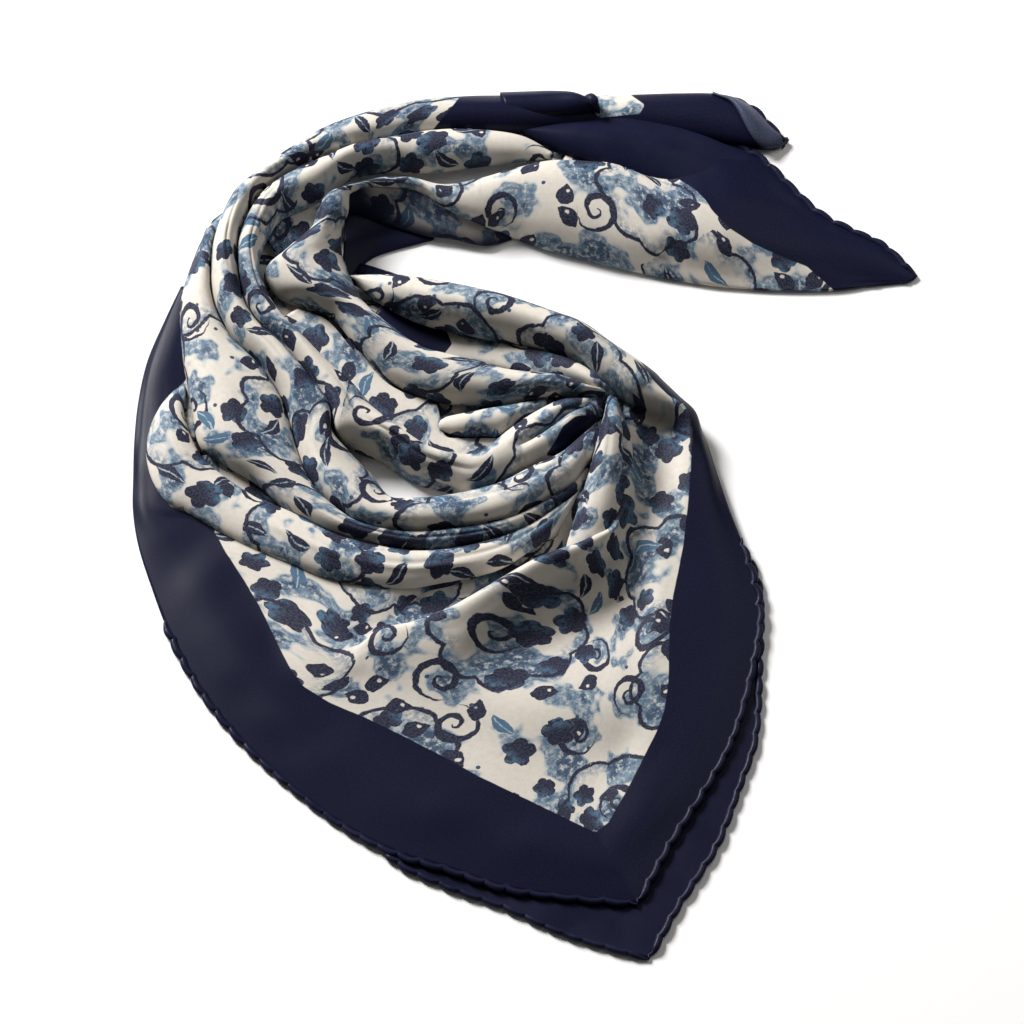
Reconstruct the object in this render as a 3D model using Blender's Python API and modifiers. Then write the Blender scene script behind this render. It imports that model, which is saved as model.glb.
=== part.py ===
"""Square silk scarf, 900 x 900 mm, folded on its diagonal, gathered and dropped in soft rolls.

The rolls swirl round a small ring. The cloth is a set of thin walls, one for each stretch that shows:
each wall runs between two rails, the valleys beside a fold, and arches over to its crest. Below them
lie the hidden layers, one rounded solid to a group, flat where they rest. Metres, +Z up, on z = 0.
"""
import math

import bmesh
import bpy
from mathutils import Vector

MM = 0.001
WALL = 1.5 * MM             # thickness of a cloth wall
FOLD_GAP = 0.35 * MM        # each wall keeps this far inside its rails
SHOULDER_DROP = 0.4         # how far the hidden layers' top falls at their sides, as a share
HEM_RADIUS = 1.5 * MM       # rolled hem
HEM_GAP = 0.45 * MM         # between a rolled hem and its panel
SEGMENTS = 6                # facets across a fold
WELD = 0.01 * MM            # points of a hem's caps closer than this are one
CENTRE_ACROSS = 0.35        # middle of the rails, in mm, moved to the origin
CENTRE_UP = -0.75

# Rails are drawn on a plane tipped SLOPE up from the table, in mm: across to the right, up the
# plane, and height above the table. lay() drops such a point on the table along the plane's normal.
SLOPE = math.radians(60)

NAVY = (0.014, 0.016, 0.036)
CREAM = (0.72, 0.64, 0.54)
BLUE = (0.07, 0.15, 0.27)

# ---------------------------------------------------------------- rails: (across, up, height) in mm

UPPER_TAIL_FAR = [
    (131, 193, 1.6), (122.5, 200, 1.6), (110.5, 211, 1.6), (96.5, 215, 1.6), (77, 215.5, 1.6),
    (57, 215, 1.6), (37, 214.5, 1.6), (17, 214.5, 1.6), (-8, 214, 1.6), (-30.5, 213, 1.6)]
UPPER_TAIL_NEAR = [
    (130, 190.5, 1.6), (123.5, 188, 1.6), (109.5, 189, 3.5), (89, 199.5, 4), (71, 205.5, 5),
    (53, 208.5, 6), (36, 208, 6), (17, 203.5, 7), (-8, 199, 8), (-48, 195, 8)]
UPPER_TAIL_CREST = [4, 6, 9, 10, 10, 10, 10, 12, 15, 17]

# The roll that leaves the upper tail, turns round the left and becomes the ring's front rim.
MIDDLE_OUTER = [
    (-31.5, 213, 1.6), (-58, 209.5, 1.6), (-98, 195.5, 1.6), (-121, 181, 1.6), (-138, 168.5, 1.6),
    (-148.5, 159.5, 1.6), (-155.5, 144.5, 9), (-158, 129.5, 12), (-156.5, 109.5, 12), (-147, 91, 12),
    (-132.5, 77, 12), (-122.5, 62, 12), (-117, 45.5, 12), (-113, 32, 12), (-106.5, 19, 12),
    (-96, 8, 12), (-80.5, -2, 12), (-59, -5.5, 12), (-38, -4, 12), (-21, -1.5, 13), (-4.5, 3, 14),
    (11.5, 11.5, 15), (23, 19.5, 16), (31, 30, 17)]
MIDDLE_INNER = [
    (-49, 195, 8), (-71, 190.5, 9), (-88, 186, 10), (-110.5, 177, 11), (-125.5, 168.5, 12),
    (-135.5, 159, 12), (-142, 146.5, 12), (-144.5, 133, 12), (-141.5, 112, 12), (-134, 98.5, 12),
    (-120.5, 86.5, 12), (-108, 72, 12), (-98, 59.5, 12), (-97, 46, 10), (-88, 34, 5), (-77, 22, 1.8),
    (-66.5, 9.5, 1.8), (-54.5, 9, 1.8), (-41, 10.5, 5), (-27, 14, 7), (-13, 18.5, 9), (2, 26.5, 12),
    (17, 34, 14), (27, 43, 16)]
MIDDLE_CREST = [
    17, 20, 24, 27, 28, 28, 28, 28, 28, 28, 28, 28, 27, 26, 25, 24, 24, 24, 24, 24, 25, 26, 26, 25]

# The outermost roll on the left, which runs on below the middle roll. It shares MIDDLE_OUTER from row 6.
OUTER_SIDE = [
    (-160, 146.5, 1.8), (-167, 131, 1.8), (-173, 109.5, 6), (-172, 84.5, 8), (-169.5, 69.5, 9),
    (-167, 57, 10), (-163.5, 39.5, 10), (-152, 30.5, 10), (-137, 22, 10), (-118, 6, 11), (-93, -6, 11),
    (-62, -13, 11), (-40.5, -13, 11), (-18, -8.5, 12), (0.5, -1.5, 13), (16, 8.5, 14), (25.5, 15.5, 15)]
OUTER_CREST = [11, 18, 22, 24, 25, 25, 24, 23, 22, 21, 20, 19, 19, 19, 20, 20, 19]

# The wide fold under the outermost roll, from the left border to the centre fold. Shares OUTER_SIDE
# from row 4.
LOWER_SIDE = [
    (-174, 68, 8), (-184, 56, 7), (-189, 39.5, 7), (-185, 19, 7), (-160.5, 0.5, 9), (-120.5, -16, 10),
    (-95.5, -28, 10), (-63, -32, 10), (-43, -29.5, 10), (-15.5, -23.5, 11), (2, -13.5, 12),
    (15, -4, 12), (23.5, 8.5, 13)]
LOWER_CREST = [11, 13, 15, 16, 16, 16, 17, 18, 18, 18, 18, 18, 17]

# The long ridge that sweeps left from the foot of the centre fold. Shares LOWER_SIDE from row 6.
RIDGE_SIDE = [(-96, -58, 9), (-70, -67, 9), (-45, -69, 9), (-15, -61, 10), (11, -45, 10), (16, -40, 10)]
RIDGE_CREST = [13, 16, 18, 19, 20, 17]

# The innermost roll, from the lower tail round to the ring's back rim. Its outer rail shares
# MIDDLE_INNER's first fourteen rows.
INNER_START = [(14, 185.5, 8), (-3, 193.5, 8), (-28, 196, 8)]
INNER_RIM = [
    (-87, 41, 1.8), (-73, 31.5, 1.6), (-57, 21, 1.6), (-40.5, 16.5, 1.8), (-27, 14.5, 7),
    (-13, 19.5, 9), (2, 27.5, 12), (17, 35, 14), (27, 44, 16), (34.5, 50.5, 17)]
INNER_SIDE = [
    (12, 184, 9), (-8, 182, 10), (-30.5, 179, 10), (-50.5, 176.5, 10), (-70.5, 177, 10),
    (-88, 174, 11), (-104, 161, 12), (-117, 155, 12), (-124.5, 151, 12), (-130, 142, 12),
    (-134, 130.5, 12), (-130, 114, 12), (-123, 102, 12), (-111.5, 90, 12), (-98, 77, 12),
    (-87, 69, 12), (-78, 59, 12), (-69.5, 50.5, 12), (-60.5, 43, 12), (-49, 36, 12), (-37, 32, 12),
    (-27, 33, 12), (-18, 37.5, 12), (-6, 47.5, 13), (7, 55.5, 14), (18, 60.5, 16), (29.5, 61.5, 18)]
INNER_CREST = [
    10, 16, 20, 22, 24, 26, 28, 29, 29, 28, 28, 28, 28, 28, 27, 26, 25, 24, 23, 22, 22, 22, 23, 24, 26,
    27, 26]

# The small sheet between the innermost roll and the arch. It shares INNER_SIDE rows 6 to 10.
NOOK_SIDE = [(-100.5, 157, 12), (-110, 143, 12), (-115, 138, 12), (-124, 132.5, 12)]
NOOK_CREST = [13, 14, 14, 13]

# The sunken face between the innermost roll and the arch roll. It shares INNER_SIDE from row 12.
HOLLOW_SIDE = [
    (-114, 107.5, 12), (-99.5, 102, 12), (-87.5, 88.5, 12), (-78, 79, 12), (-68, 69.5, 12),
    (-56, 64, 12), (-45, 60, 12), (-41, 45, 12), (-33, 43, 12), (-22, 43, 12), (-12, 43, 12)]
HOLLOW_CREST = [13, 13, 13, 13, 13, 13, 13, 13, 13, 13, 13]

# The arch roll: up the left, over the hollow and right to the knot.
ARCH_LEFT = [
    (-98, 166, 24), (-104.5, 156, 20), (-110, 141.5, 14), (-123.5, 130.5, 12), (-131, 124, 12),
    (-125, 114, 12), (-112.5, 109, 12), (-97.5, 103, 12), (-85.5, 89, 12), (-76.5, 79.5, 12),
    (-66, 70.5, 12), (-50.5, 63, 12), (-30.5, 60, 13), (-12, 59, 14), (7, 62.5, 16), (27, 64, 20)]
ARCH_RIGHT = [
    (-87, 167, 22), (-89, 156, 16), (-93, 143, 10), (-92, 132.5, 8), (-89, 125.5, 8), (-84, 114, 12),
    (-79, 107.5, 14), (-70, 99, 14), (-58, 90.5, 14), (-47.5, 85, 14), (-34.5, 82, 14), (-21, 79, 14),
    (-10.5, 75, 14), (2, 73, 16), (17, 72, 20), (32, 67, 24)]
ARCH_CREST = [27, 29, 31, 31, 30, 29, 28, 28, 28, 28, 28, 28, 28, 28, 28, 28]

# The cloth that hangs behind the arch, from the twisted strand to the table.
CURTAIN_FOOT = [
    (-87, 155, 5), (-69, 149.5, 4), (-50, 144.5, 4), (-38, 143, 4), (-20, 139.5, 3), (-9, 140.5, 1.6)]
CURTAIN_CREST = [5] * 6

# The twisted strand over the arch, opening into the printed front of the lower tail.
STRAND_UPPER = [
    (-93, 170.5, 22), (-75.5, 173, 18), (-58.5, 173, 14), (-41.5, 169.5, 11), (-23.5, 172, 10),
    (-6, 176.5, 9), (12.5, 180.5, 8), (31.5, 180.5, 8), (47.5, 178.5, 8), (69, 173, 8), (85.5, 168, 8),
    (94.5, 156, 8), (109.5, 143, 8), (127, 134.5, 7), (143, 127, 5), (153, 120.5, 1.8)]
STRAND_LOWER = [
    (-86, 168.5, 22), (-70.5, 168.5, 18), (-54, 166.5, 16), (-40, 158, 14), (-22.5, 150, 8),
    (-8.5, 144, 1.6), (7.5, 138, 1.6), (27, 133, 1.6), (43.5, 129, 1.6), (62, 125, 1.6),
    (80.5, 121.5, 1.6), (93.5, 119.5, 1.6), (109.5, 117.5, 1.6), (124.5, 117, 1.6), (140, 117, 1.6),
    (151, 117.5, 1.6)]
STRAND_CREST = [24, 23, 22, 21, 21, 21, 21, 20, 19, 18, 17, 16, 14, 11, 8, 5]

# The plain dark border of the lower tail. It shares STRAND_UPPER from row 6.
TAIL_FAR = [
    (-2, 197.5, 6), (17, 201, 5), (37, 204.5, 1.8), (56, 204.5, 1.8), (82, 198, 1.8),
    (101.5, 189.5, 1.6), (119.5, 180.5, 1.6), (137, 165, 1.6), (157, 150.5, 1.6), (174.5, 142.5, 1.6),
    (185.5, 134, 1.6), (195.5, 125, 1.6)]
TAIL_NEAR_START = [(-1, 194.5, 8), (15, 187, 8)]
TAIL_NEAR_END = [(189.5, 120.5, 1.6)]
TAIL_CREST = [9, 11, 12, 12, 12, 12, 12, 11, 10, 8, 6, 4]

# The upper roll of the right-hand wing.
WING_UPPER = [
    (-88, 122.5, 5), (-63.5, 119.5, 1.6), (-41.5, 115.5, 1.6), (-23, 111, 1.6), (-3, 105.5, 1.6),
    (17, 98, 1.6), (35.5, 90, 1.6), (52, 79, 1.6), (64.5, 69, 4), (76, 60.5, 5)]
WING_LOWER = [
    (-83.5, 119, 10), (-71, 109, 14), (-53, 100.5, 14), (-35.5, 96, 14), (-17, 92, 15), (2, 88, 16),
    (22.5, 81, 18), (37, 72, 20), (47, 63, 18), (59, 56.5, 13)]
WING_CREST = [14, 26, 31, 33, 34, 34, 34, 34, 30, 22]

# The sunken fold between the wing roll and the arch roll. It shares WING_LOWER rows 1 to 7.
UNDERFOLD_SIDE = [
    (-76, 105, 14), (-61, 93.5, 14), (-41, 84.5, 14), (-20.5, 80, 14), (2, 74, 16), (17, 73, 19),
    (33, 68, 23)]
UNDERFOLD_CREST = [15, 16, 18, 21, 24, 27, 28]

# The short fold below the arch roll.
SHORT_UPPER = [
    (-40, 52.5, 13), (-32, 54, 13), (-20.5, 56, 13), (-10.5, 57.5, 13), (-1.5, 59, 14), (7.5, 61, 16)]
SHORT_LOWER = [
    (-39.5, 46.5, 13), (-32, 44.5, 13), (-20.5, 44.5, 13), (-11.5, 44.5, 13), (-3, 49.9, 13.5),
    (6, 55.7, 14.5)]
SHORT_CREST = [16, 19, 21, 22, 21, 18]

# The centre fold, from the knot down.
CENTRE_LEFT = [
    (40.5, 62, 20), (39, 54, 19), (36.5, 44.5, 18), (33, 31, 17), (29, 17, 15), (25, 4, 13),
    (20.5, -10, 12), (19, -20, 11), (18, -33, 11)]
CENTRE_RIGHT = [
    (46, 61, 20), (48, 54.5, 18), (52, 43.5, 14), (53.5, 32, 13), (52, 20, 12), (47.5, 1, 11),
    (42.5, -12, 11), (38, -21, 11), (30, -31, 11)]
CENTRE_CREST = [26, 30, 31, 30, 28, 26, 22, 17, 13]

# The front panel: hem, edge of the print, and the line where it goes in under the folds.
PANEL_HEM = [
    (-177, 110, 2), (-188, 84.5, 1.6), (-191.5, 66, 1.6), (-193, 54, 1.6), (-194, 38, 1.6),
    (-194, 12, 1.6), (-189, -18, 1.6), (-178, -51, 1.6), (-160, -84, 1.6), (-137, -112, 1.6),
    (-104, -139.5, 2.4), (-53, -163.5, 4), (-3, -181.5, 4), (53.5, -186.5, 4), (71, -155, 4),
    (89, -128, 4), (105, -97, 4), (113, -58, 4), (113, -28, 4), (106, -3, 4.2), (93, 31, 4),
    (82, 55, 4)]
PANEL_PRINT = [
    (-175, 109.5, 5), (-181, 84, 6), (-183, 67, 7), (-189, 55, 6), (-191.5, 39, 6), (-188, 16, 6),
    (-166.5, -2, 8), (-143, -24.5, 8), (-125.5, -56.5, 8), (-108, -83, 8), (-79, -97, 8),
    (-39, -117, 8), (-3, -135.5, 7.5), (34.5, -153, 7), (49.5, -134, 7.5), (65, -103.5, 8),
    (71, -79.5, 8), (71.5, -51.5, 9), (77, -18, 9), (81, 10, 9), (81, 37, 8), (78, 55, 7)]
CORNER_HEM = [(55.8, -182.5, 4)]
CORNER_INSIDE = [(38, -150, 7)]
PANEL_TUCK = OUTER_SIDE[2:4] + LOWER_SIDE[:6] + [(-98, -42, 9.5), (-96.5, -60, 9)] + RIDGE_SIDE[1:5] + [
    (30, -32.5, 11), (39, -21, 11), (45.4, -6, 11), (50.8, 12, 11.5), (53.6, 27, 12.4), (53, 42, 13.2),
    (50, 57.5, 15), (60.3, 55.8, 12.8)]
PANEL_CREST = [
    6, 8, 8.5, 7, 7, 7.5, 9.5, 10.5, 11, 11, 11, 11.5, 12, 12, 12.5, 12.5, 12.5, 13, 13, 13, 13, 12.5]

# The layer below the front panel, which shows past its hem round the corner.
UNDER_HEM = [
    (-66.5, -167, 1.5), (-39.5, -180.5, 1.5), (-10, -191, 1.5), (20.5, -204.5, 1.5), (60, -215, 1.5),
    (74.5, -193, 1.5), (86.5, -174, 1.5), (96, -158, 1.5), (107, -129, 1.5), (114.5, -105.5, 1.5),
    (116.5, -68, 1.5), (116, -33, 1.5)]
UNDER_INNER = [
    (-62, -154, 1.5), (-35.5, -162, 1.5), (-5.5, -169, 1.5), (17, -176, 1.5), (42, -180, 1.5),
    (54.5, -172, 1.5), (64.5, -157, 1.5), (74.5, -142, 1.5), (87, -122, 1.5), (94.5, -98, 1.5),
    (99, -68, 1.5), (101, -38, 1.5)]
UNDER_CREST = [1.5] * 12

# A scrap of border that lies on the table under the wing roll, with its hem to the arch.
SCRAP_HEM = [(-83, 131, 1.5), (-69, 126.5, 1.5), (-54, 121, 1.5)]
SCRAP_INNER = [(-85, 124, 1.5), (-70, 120.9, 1.5), (-55.5, 118.1, 1.5)]
SCRAP_CREST = [3] * 3

# Hidden layers, drawn the same way: outer rail, inner rail, height of the rounded top.
CORE_TURN_OUTER = [
    (-28, 206, 3), (-58, 202, 3), (-96, 188.5, 3), (-118, 175.5, 3), (-134, 164.5, 3),
    (-145, 154.5, 3), (-156, 144, 3), (-163, 129, 3), (-168, 108, 6), (-168, 84, 8), (-167, 68, 8),
    (-165, 55, 8), (-163, 38, 8)]
CORE_TURN_INNER = [
    (-31, 183, 8), (-52, 180.5, 8), (-85, 178, 9), (-104, 164, 10), (-115, 158, 11), (-119, 146, 11),
    (-114, 139, 11), (-102, 128, 11), (-99, 108, 11), (-99, 94, 11), (-99, 82, 11), (-99, 69, 11),
    (-102, 56, 11)]
CORE_TURN_TOP = [5, 6, 7, 8, 8.5, 8.5, 9, 9, 9, 9, 9, 9, 8.5]
CORE_BEND_OUTER = [(-162.6, 37.3, 8), (-160, 28, 8), (-148, 12, 8), (-122, -8, 9), (-96, -22, 9)]
CORE_BEND_INNER = [(-102, 55.3, 11), (-102, 44, 7), (-94, 31, 6), (-84, 19, 6), (-74, 8, 6)]
CORE_BEND_TOP = [7.5, 7, 7, 7, 7]
CORE_RIM_OUTER = [
    (-95.5, -22.7, 9), (-66, -58, 9), (-43, -60, 9), (-16, -52, 9.5), (8, -38, 10), (19, -14, 11)]
CORE_RIM_INNER = [(-73.5, 7.4, 6), (-55, 4, 6), (-40, 5.5, 6), (-25, 8.5, 8), (-9, 14, 9), (21, 19, 12)]
CORE_RIM_TOP = [7, 7, 7, 7, 7.5, 8.5]
CORE_BACK_OUTER = [
    (-94, 52, 9), (-72, 37, 6), (-40, 21, 7), (-26, 19, 8), (-11, 24, 9), (17, 41, 12), (26, 48, 13)]
CORE_BACK_INNER = [
    (-91, 116, 9), (-66, 115, 6), (-42, 111, 6), (-23, 107, 6), (-4, 101, 6), (15, 94, 6), (34, 84, 6)]
CORE_BACK_TOP = [8.5, 8.5, 8.5, 8.5, 9, 9, 9]
CORE_PANEL_OUTER = [
    (-125, -53, 8), (-107, -80, 8), (-78, -95, 8), (-38, -114, 8), (-3, -131, 7.5), (34, -148, 7),
    (48, -130, 7.5), (62, -101, 8), (68, -79, 8), (69, -51, 9), (74, -18, 9), (77, 9, 9), (77, 35, 8)]
CORE_PANEL_INNER = [
    (-101, -45, 9.5), (-84, -69, 9), (-62, -74, 9), (-38, -75, 9.5), (-12, -67, 10), (13, -51, 10),
    (31, -38, 10.5), (42, -23, 10.5), (47, -8, 11), (46, 12, 11.5), (45, 27, 12), (47, 42, 12),
    (50, 52, 12)]
CORE_PANEL_TOP = [7.1, 7.1, 7.1, 7.1, 6.7, 5.8, 6.4, 7, 7.1, 7.1, 7.1, 7.1, 7]
CORE_TAIL_OUTER = [
    (20, 197, 5), (37, 201, 4), (56, 201, 4), (80, 195, 4), (99, 186, 3.5), (115, 175, 3.5),
    (132, 160, 3.5), (152, 145, 3.5)]
CORE_TAIL_INNER = [
    (9, 143, 4), (27, 138, 4), (43.5, 134, 4), (62, 130, 4), (80.5, 126.5, 4), (93.5, 124.5, 4),
    (109.5, 122, 4), (124, 121, 4)]
CORE_TAIL_TOP = [6.3, 6.3, 6.3, 6.3, 6.3, 5.8, 5.2, 3.8]


def lay(point):
    """A rail point dropped on the table, in metres."""
    across, up, height = point
    along = (up - CENTRE_UP - height * math.cos(SLOPE)) / math.sin(SLOPE)
    return Vector(((across - CENTRE_ACROSS) * MM, along * MM, height * MM))


def material(name, colour, roughness):
    """A plain cloth finish."""
    finish = bpy.data.materials.new(name + "_silk")
    finish.use_nodes = True
    shader = finish.node_tree.nodes["Principled BSDF"]
    shader.inputs["Base Color"].default_value = (*colour, 1)
    shader.inputs["Roughness"].default_value = roughness
    shader.inputs["Metallic"].default_value = 0
    return finish


def add_object(name, mesh, colour, home):
    """Put a mesh in its collection, with its own material."""
    body = bpy.data.objects.new(name, mesh)
    mesh.materials.append(material(name, colour, 0.6))
    home.objects.link(body)
    return body


def inset_pair(outer, inner, inset):
    """Both ends of a section, moved towards each other over the table."""
    across = inner - outer
    across.z = 0
    step = across.normalized() * inset
    return outer + step, inner - step


def arch_point(start, end, crest, turn):
    """A point of the arch from start to end: turn goes from 0 to pi."""
    share = (1 - math.cos(turn)) / 2
    base = start.lerp(end, share)
    rise = max(crest * MM - (start.z + end.z) / 2, 0)
    return base + Vector((0, 0, rise * math.sin(turn)))


def quads_between(bm, rows):
    """Faces between neighbouring rows of points."""
    grid = [[bm.verts.new(point) for point in row] for row in rows]
    for here, there in zip(grid, grid[1:]):
        for i in range(len(here) - 1):
            bm.faces.new((here[i], here[i + 1], there[i + 1], there[i]))
    return grid


def turn_up(bm):
    """Make the faces of an open sheet look up, so its wall is added below."""
    bm.normal_update()
    if sum(face.normal.z * face.calc_area() for face in bm.faces) < 0:
        bmesh.ops.reverse_faces(bm, faces=bm.faces[:])


def sheet(name, rows, colour, home):
    """Rows of points as an open sheet, thickened downwards."""
    bm = bmesh.new()
    quads_between(bm, rows)
    turn_up(bm)
    mesh = bpy.data.meshes.new(name)
    bm.to_mesh(mesh)
    bm.free()
    body = add_object(name, mesh, colour, home)
    wall = body.modifiers.new("Wall", "SOLIDIFY")
    wall.thickness = WALL
    wall.offset = -1
    return body


def fold(name, outer, inner, crest, colour, home, segments=SEGMENTS):
    """A stretch of cloth that arches from its outer rail over its crest to its inner rail."""
    rows = []
    for far, near, top in zip(outer, inner, crest):
        start, end = inset_pair(lay(far), lay(near), FOLD_GAP)
        rows.append([arch_point(start, end, top, math.pi * i / segments) for i in range(segments + 1)])
    return sheet(name, rows, colour, home)


def front_panel(home):
    """The flat front: a gentle rise from the hem to the print's edge, then on to the folds."""
    rows = []
    for hem, edge, tuck, top in zip(PANEL_HEM, PANEL_PRINT, PANEL_TUCK, PANEL_CREST):
        start, end = inset_pair(lay(hem), lay(tuck), FOLD_GAP)
        middle = lay(edge)
        inner = middle.lerp(end, 0.5)
        inner.z = (middle.z + top * MM) / 2
        rows.append([start, start.lerp(middle, 0.5), middle, inner, end])
    return sheet("front_panel", rows, CREAM, home)


def hidden_layers(name, outer, inner, tops, home):
    """The layers that nothing shows, as one rounded solid that is flat where it rests."""
    bm = bmesh.new()
    rings = []
    for far, near, top in zip(outer, inner, tops):
        start = lay(far)
        end = lay(near)
        start.z = 0
        end.z = 0
        ring = [start, end]
        for i in range(SEGMENTS + 1):
            share = 1 - i / SEGMENTS
            point = start.lerp(end, share)
            point.z = top * MM * (1 - SHOULDER_DROP * (2 * share - 1) ** 4)
            ring.append(point)
        rings.append([bm.verts.new(point) for point in ring])
    count = len(rings[0])
    for here, there in zip(rings, rings[1:]):
        for i in range(count):
            j = (i + 1) % count
            bm.faces.new((here[i], here[j], there[j], there[i]))
    bm.faces.new(rings[0])
    bm.faces.new(list(reversed(rings[-1])))
    bmesh.ops.recalc_face_normals(bm, faces=bm.faces[:])
    mesh = bpy.data.meshes.new(name)
    bm.to_mesh(mesh)
    bm.free()
    return add_object(name, mesh, CREAM, home)


def rolled_hem(name, rail, inner, home):
    """A thin roll along an edge, just outside the cloth it finishes."""
    points = []
    for edge, inside in zip(rail, inner):
        point = lay(edge)
        away = point - lay(inside)
        away.z = 0
        spot = point + away.normalized() * (HEM_RADIUS + HEM_GAP)
        spot.z = max(point.z - WALL / 2, HEM_RADIUS)
        points.append(spot)
    curve = bpy.data.curves.new(name, "CURVE")
    curve.dimensions = "3D"
    curve.bevel_depth = HEM_RADIUS
    curve.bevel_resolution = 1
    curve.use_fill_caps = True
    line = curve.splines.new("POLY")
    line.points.add(len(points) - 1)
    for spot, point in zip(line.points, points):
        spot.co = (*point, 1)
    guide = bpy.data.objects.new(name + "_guide", curve)
    home.objects.link(guide)
    bpy.context.view_layer.update()
    mesh = bpy.data.meshes.new_from_object(guide.evaluated_get(bpy.context.evaluated_depsgraph_get()))
    bpy.data.objects.remove(guide)
    bm = bmesh.new()
    bm.from_mesh(mesh)
    bmesh.ops.remove_doubles(bm, verts=bm.verts[:], dist=WELD)
    bm.to_mesh(mesh)
    bm.free()
    mesh.materials.clear()
    return add_object(name, mesh, NAVY, home)


def main():
    for body in list(bpy.data.objects):
        bpy.data.objects.remove(body)
    home = bpy.data.collections.new("silk_square_scarf")
    bpy.context.scene.collection.children.link(home)

    fold("upper_tail", UPPER_TAIL_FAR, UPPER_TAIL_NEAR, UPPER_TAIL_CREST, NAVY, home)
    fold("middle_roll", MIDDLE_OUTER, MIDDLE_INNER, MIDDLE_CREST, CREAM, home)
    fold("outer_roll", OUTER_SIDE, MIDDLE_OUTER[6:23], OUTER_CREST, CREAM, home)
    fold("lower_fold", LOWER_SIDE, OUTER_SIDE[4:], LOWER_CREST, CREAM, home)
    fold("ridge_fold", RIDGE_SIDE, LOWER_SIDE[6:12], RIDGE_CREST, CREAM, home)
    fold("inner_roll", INNER_START + MIDDLE_INNER[:14] + INNER_RIM, INNER_SIDE, INNER_CREST, CREAM, home)
    fold("nook_sheet", INNER_SIDE[6:10], NOOK_SIDE, NOOK_CREST, CREAM, home, 3)
    fold("sunken_face", INNER_SIDE[12:23], HOLLOW_SIDE, HOLLOW_CREST, CREAM, home, 3)
    fold("arch_roll", ARCH_LEFT, ARCH_RIGHT, ARCH_CREST, CREAM, home)
    fold("arch_curtain", STRAND_LOWER[:6], CURTAIN_FOOT, CURTAIN_CREST, BLUE, home, 3)
    fold("tail_strand", STRAND_UPPER, STRAND_LOWER, STRAND_CREST, CREAM, home)
    fold("lower_tail", TAIL_FAR, TAIL_NEAR_START + STRAND_UPPER[7:] + TAIL_NEAR_END, TAIL_CREST, NAVY, home)
    fold("wing_roll", WING_UPPER, WING_LOWER, WING_CREST, CREAM, home)
    fold("under_fold", WING_LOWER[1:8], UNDERFOLD_SIDE, UNDERFOLD_CREST, CREAM, home, 4)
    fold("short_fold", SHORT_UPPER, SHORT_LOWER, SHORT_CREST, CREAM, home)
    fold("centre_fold", CENTRE_LEFT, CENTRE_RIGHT, CENTRE_CREST, CREAM, home)
    fold("under_layer", UNDER_HEM, UNDER_INNER, UNDER_CREST, NAVY, home, 3)
    fold("table_scrap", SCRAP_HEM, SCRAP_INNER, SCRAP_CREST, NAVY, home, 2)
    front_panel(home)

    hidden_layers("hidden_layers_turn", CORE_TURN_OUTER, CORE_TURN_INNER, CORE_TURN_TOP, home)
    hidden_layers("hidden_layers_bend", CORE_BEND_OUTER, CORE_BEND_INNER, CORE_BEND_TOP, home)
    hidden_layers("hidden_layers_rim", CORE_RIM_OUTER, CORE_RIM_INNER, CORE_RIM_TOP, home)
    hidden_layers("hidden_layers_back", CORE_BACK_OUTER, CORE_BACK_INNER, CORE_BACK_TOP, home)
    hidden_layers("hidden_layers_panel", CORE_PANEL_OUTER, CORE_PANEL_INNER, CORE_PANEL_TOP, home)
    hidden_layers("hidden_layers_tail", CORE_TAIL_OUTER, CORE_TAIL_INNER, CORE_TAIL_TOP, home)

    rolled_hem("hem_front_left", PANEL_HEM[4:13], PANEL_PRINT[4:13], home)
    rolled_hem("hem_front_right", CORNER_HEM + PANEL_HEM[14:20], CORNER_INSIDE + PANEL_PRINT[14:20], home)
    rolled_hem("hem_under", UNDER_HEM, UNDER_INNER, home)
    rolled_hem("hem_upper_tail", UPPER_TAIL_FAR[1:4], UPPER_TAIL_NEAR[1:4], home)
    rolled_hem("hem_lower_tail", TAIL_FAR[3:], (TAIL_NEAR_START + STRAND_UPPER[7:] + TAIL_NEAR_END)[3:], home)


main()
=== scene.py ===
import math

import bmesh
import bpy
import numpy as np
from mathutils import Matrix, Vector


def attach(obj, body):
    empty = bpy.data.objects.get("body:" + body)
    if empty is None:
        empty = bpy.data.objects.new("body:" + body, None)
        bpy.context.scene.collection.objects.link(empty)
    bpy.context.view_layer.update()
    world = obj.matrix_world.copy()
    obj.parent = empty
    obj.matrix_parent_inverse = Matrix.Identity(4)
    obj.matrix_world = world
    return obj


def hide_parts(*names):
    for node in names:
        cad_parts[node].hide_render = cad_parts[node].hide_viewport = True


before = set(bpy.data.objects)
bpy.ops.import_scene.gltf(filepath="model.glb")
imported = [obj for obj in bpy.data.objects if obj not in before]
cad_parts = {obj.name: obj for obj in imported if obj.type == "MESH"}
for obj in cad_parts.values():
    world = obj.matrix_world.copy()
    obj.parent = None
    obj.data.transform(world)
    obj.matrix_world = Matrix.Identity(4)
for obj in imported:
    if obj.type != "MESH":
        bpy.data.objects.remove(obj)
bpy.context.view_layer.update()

mm = 0.001

# drawing plane
# Fold lines are drawn on a plane tipped up from the table: (across, up, height above the table), in mm.
drawing = {"slope": math.radians(60), "centreAcross": 0.35, "centreUp": -0.75}


def lay(points):
    p = np.atleast_2d(np.array(points, float))
    slope = drawing["slope"]
    y = (p[:, 1] - drawing["centreUp"] - p[:, 2] * math.cos(slope)) / math.sin(slope)
    return np.stack([p[:, 0] - drawing["centreAcross"], y, p[:, 2]], -1) * mm


def onDrawing(points):
    # world metres back to (across, up) in mm
    slope = drawing["slope"]
    up = (points[..., 1] * math.sin(slope) + points[..., 2] * math.cos(slope)) / mm + drawing["centreUp"]
    return np.stack([points[..., 0] / mm + drawing["centreAcross"], up], -1)


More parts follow.
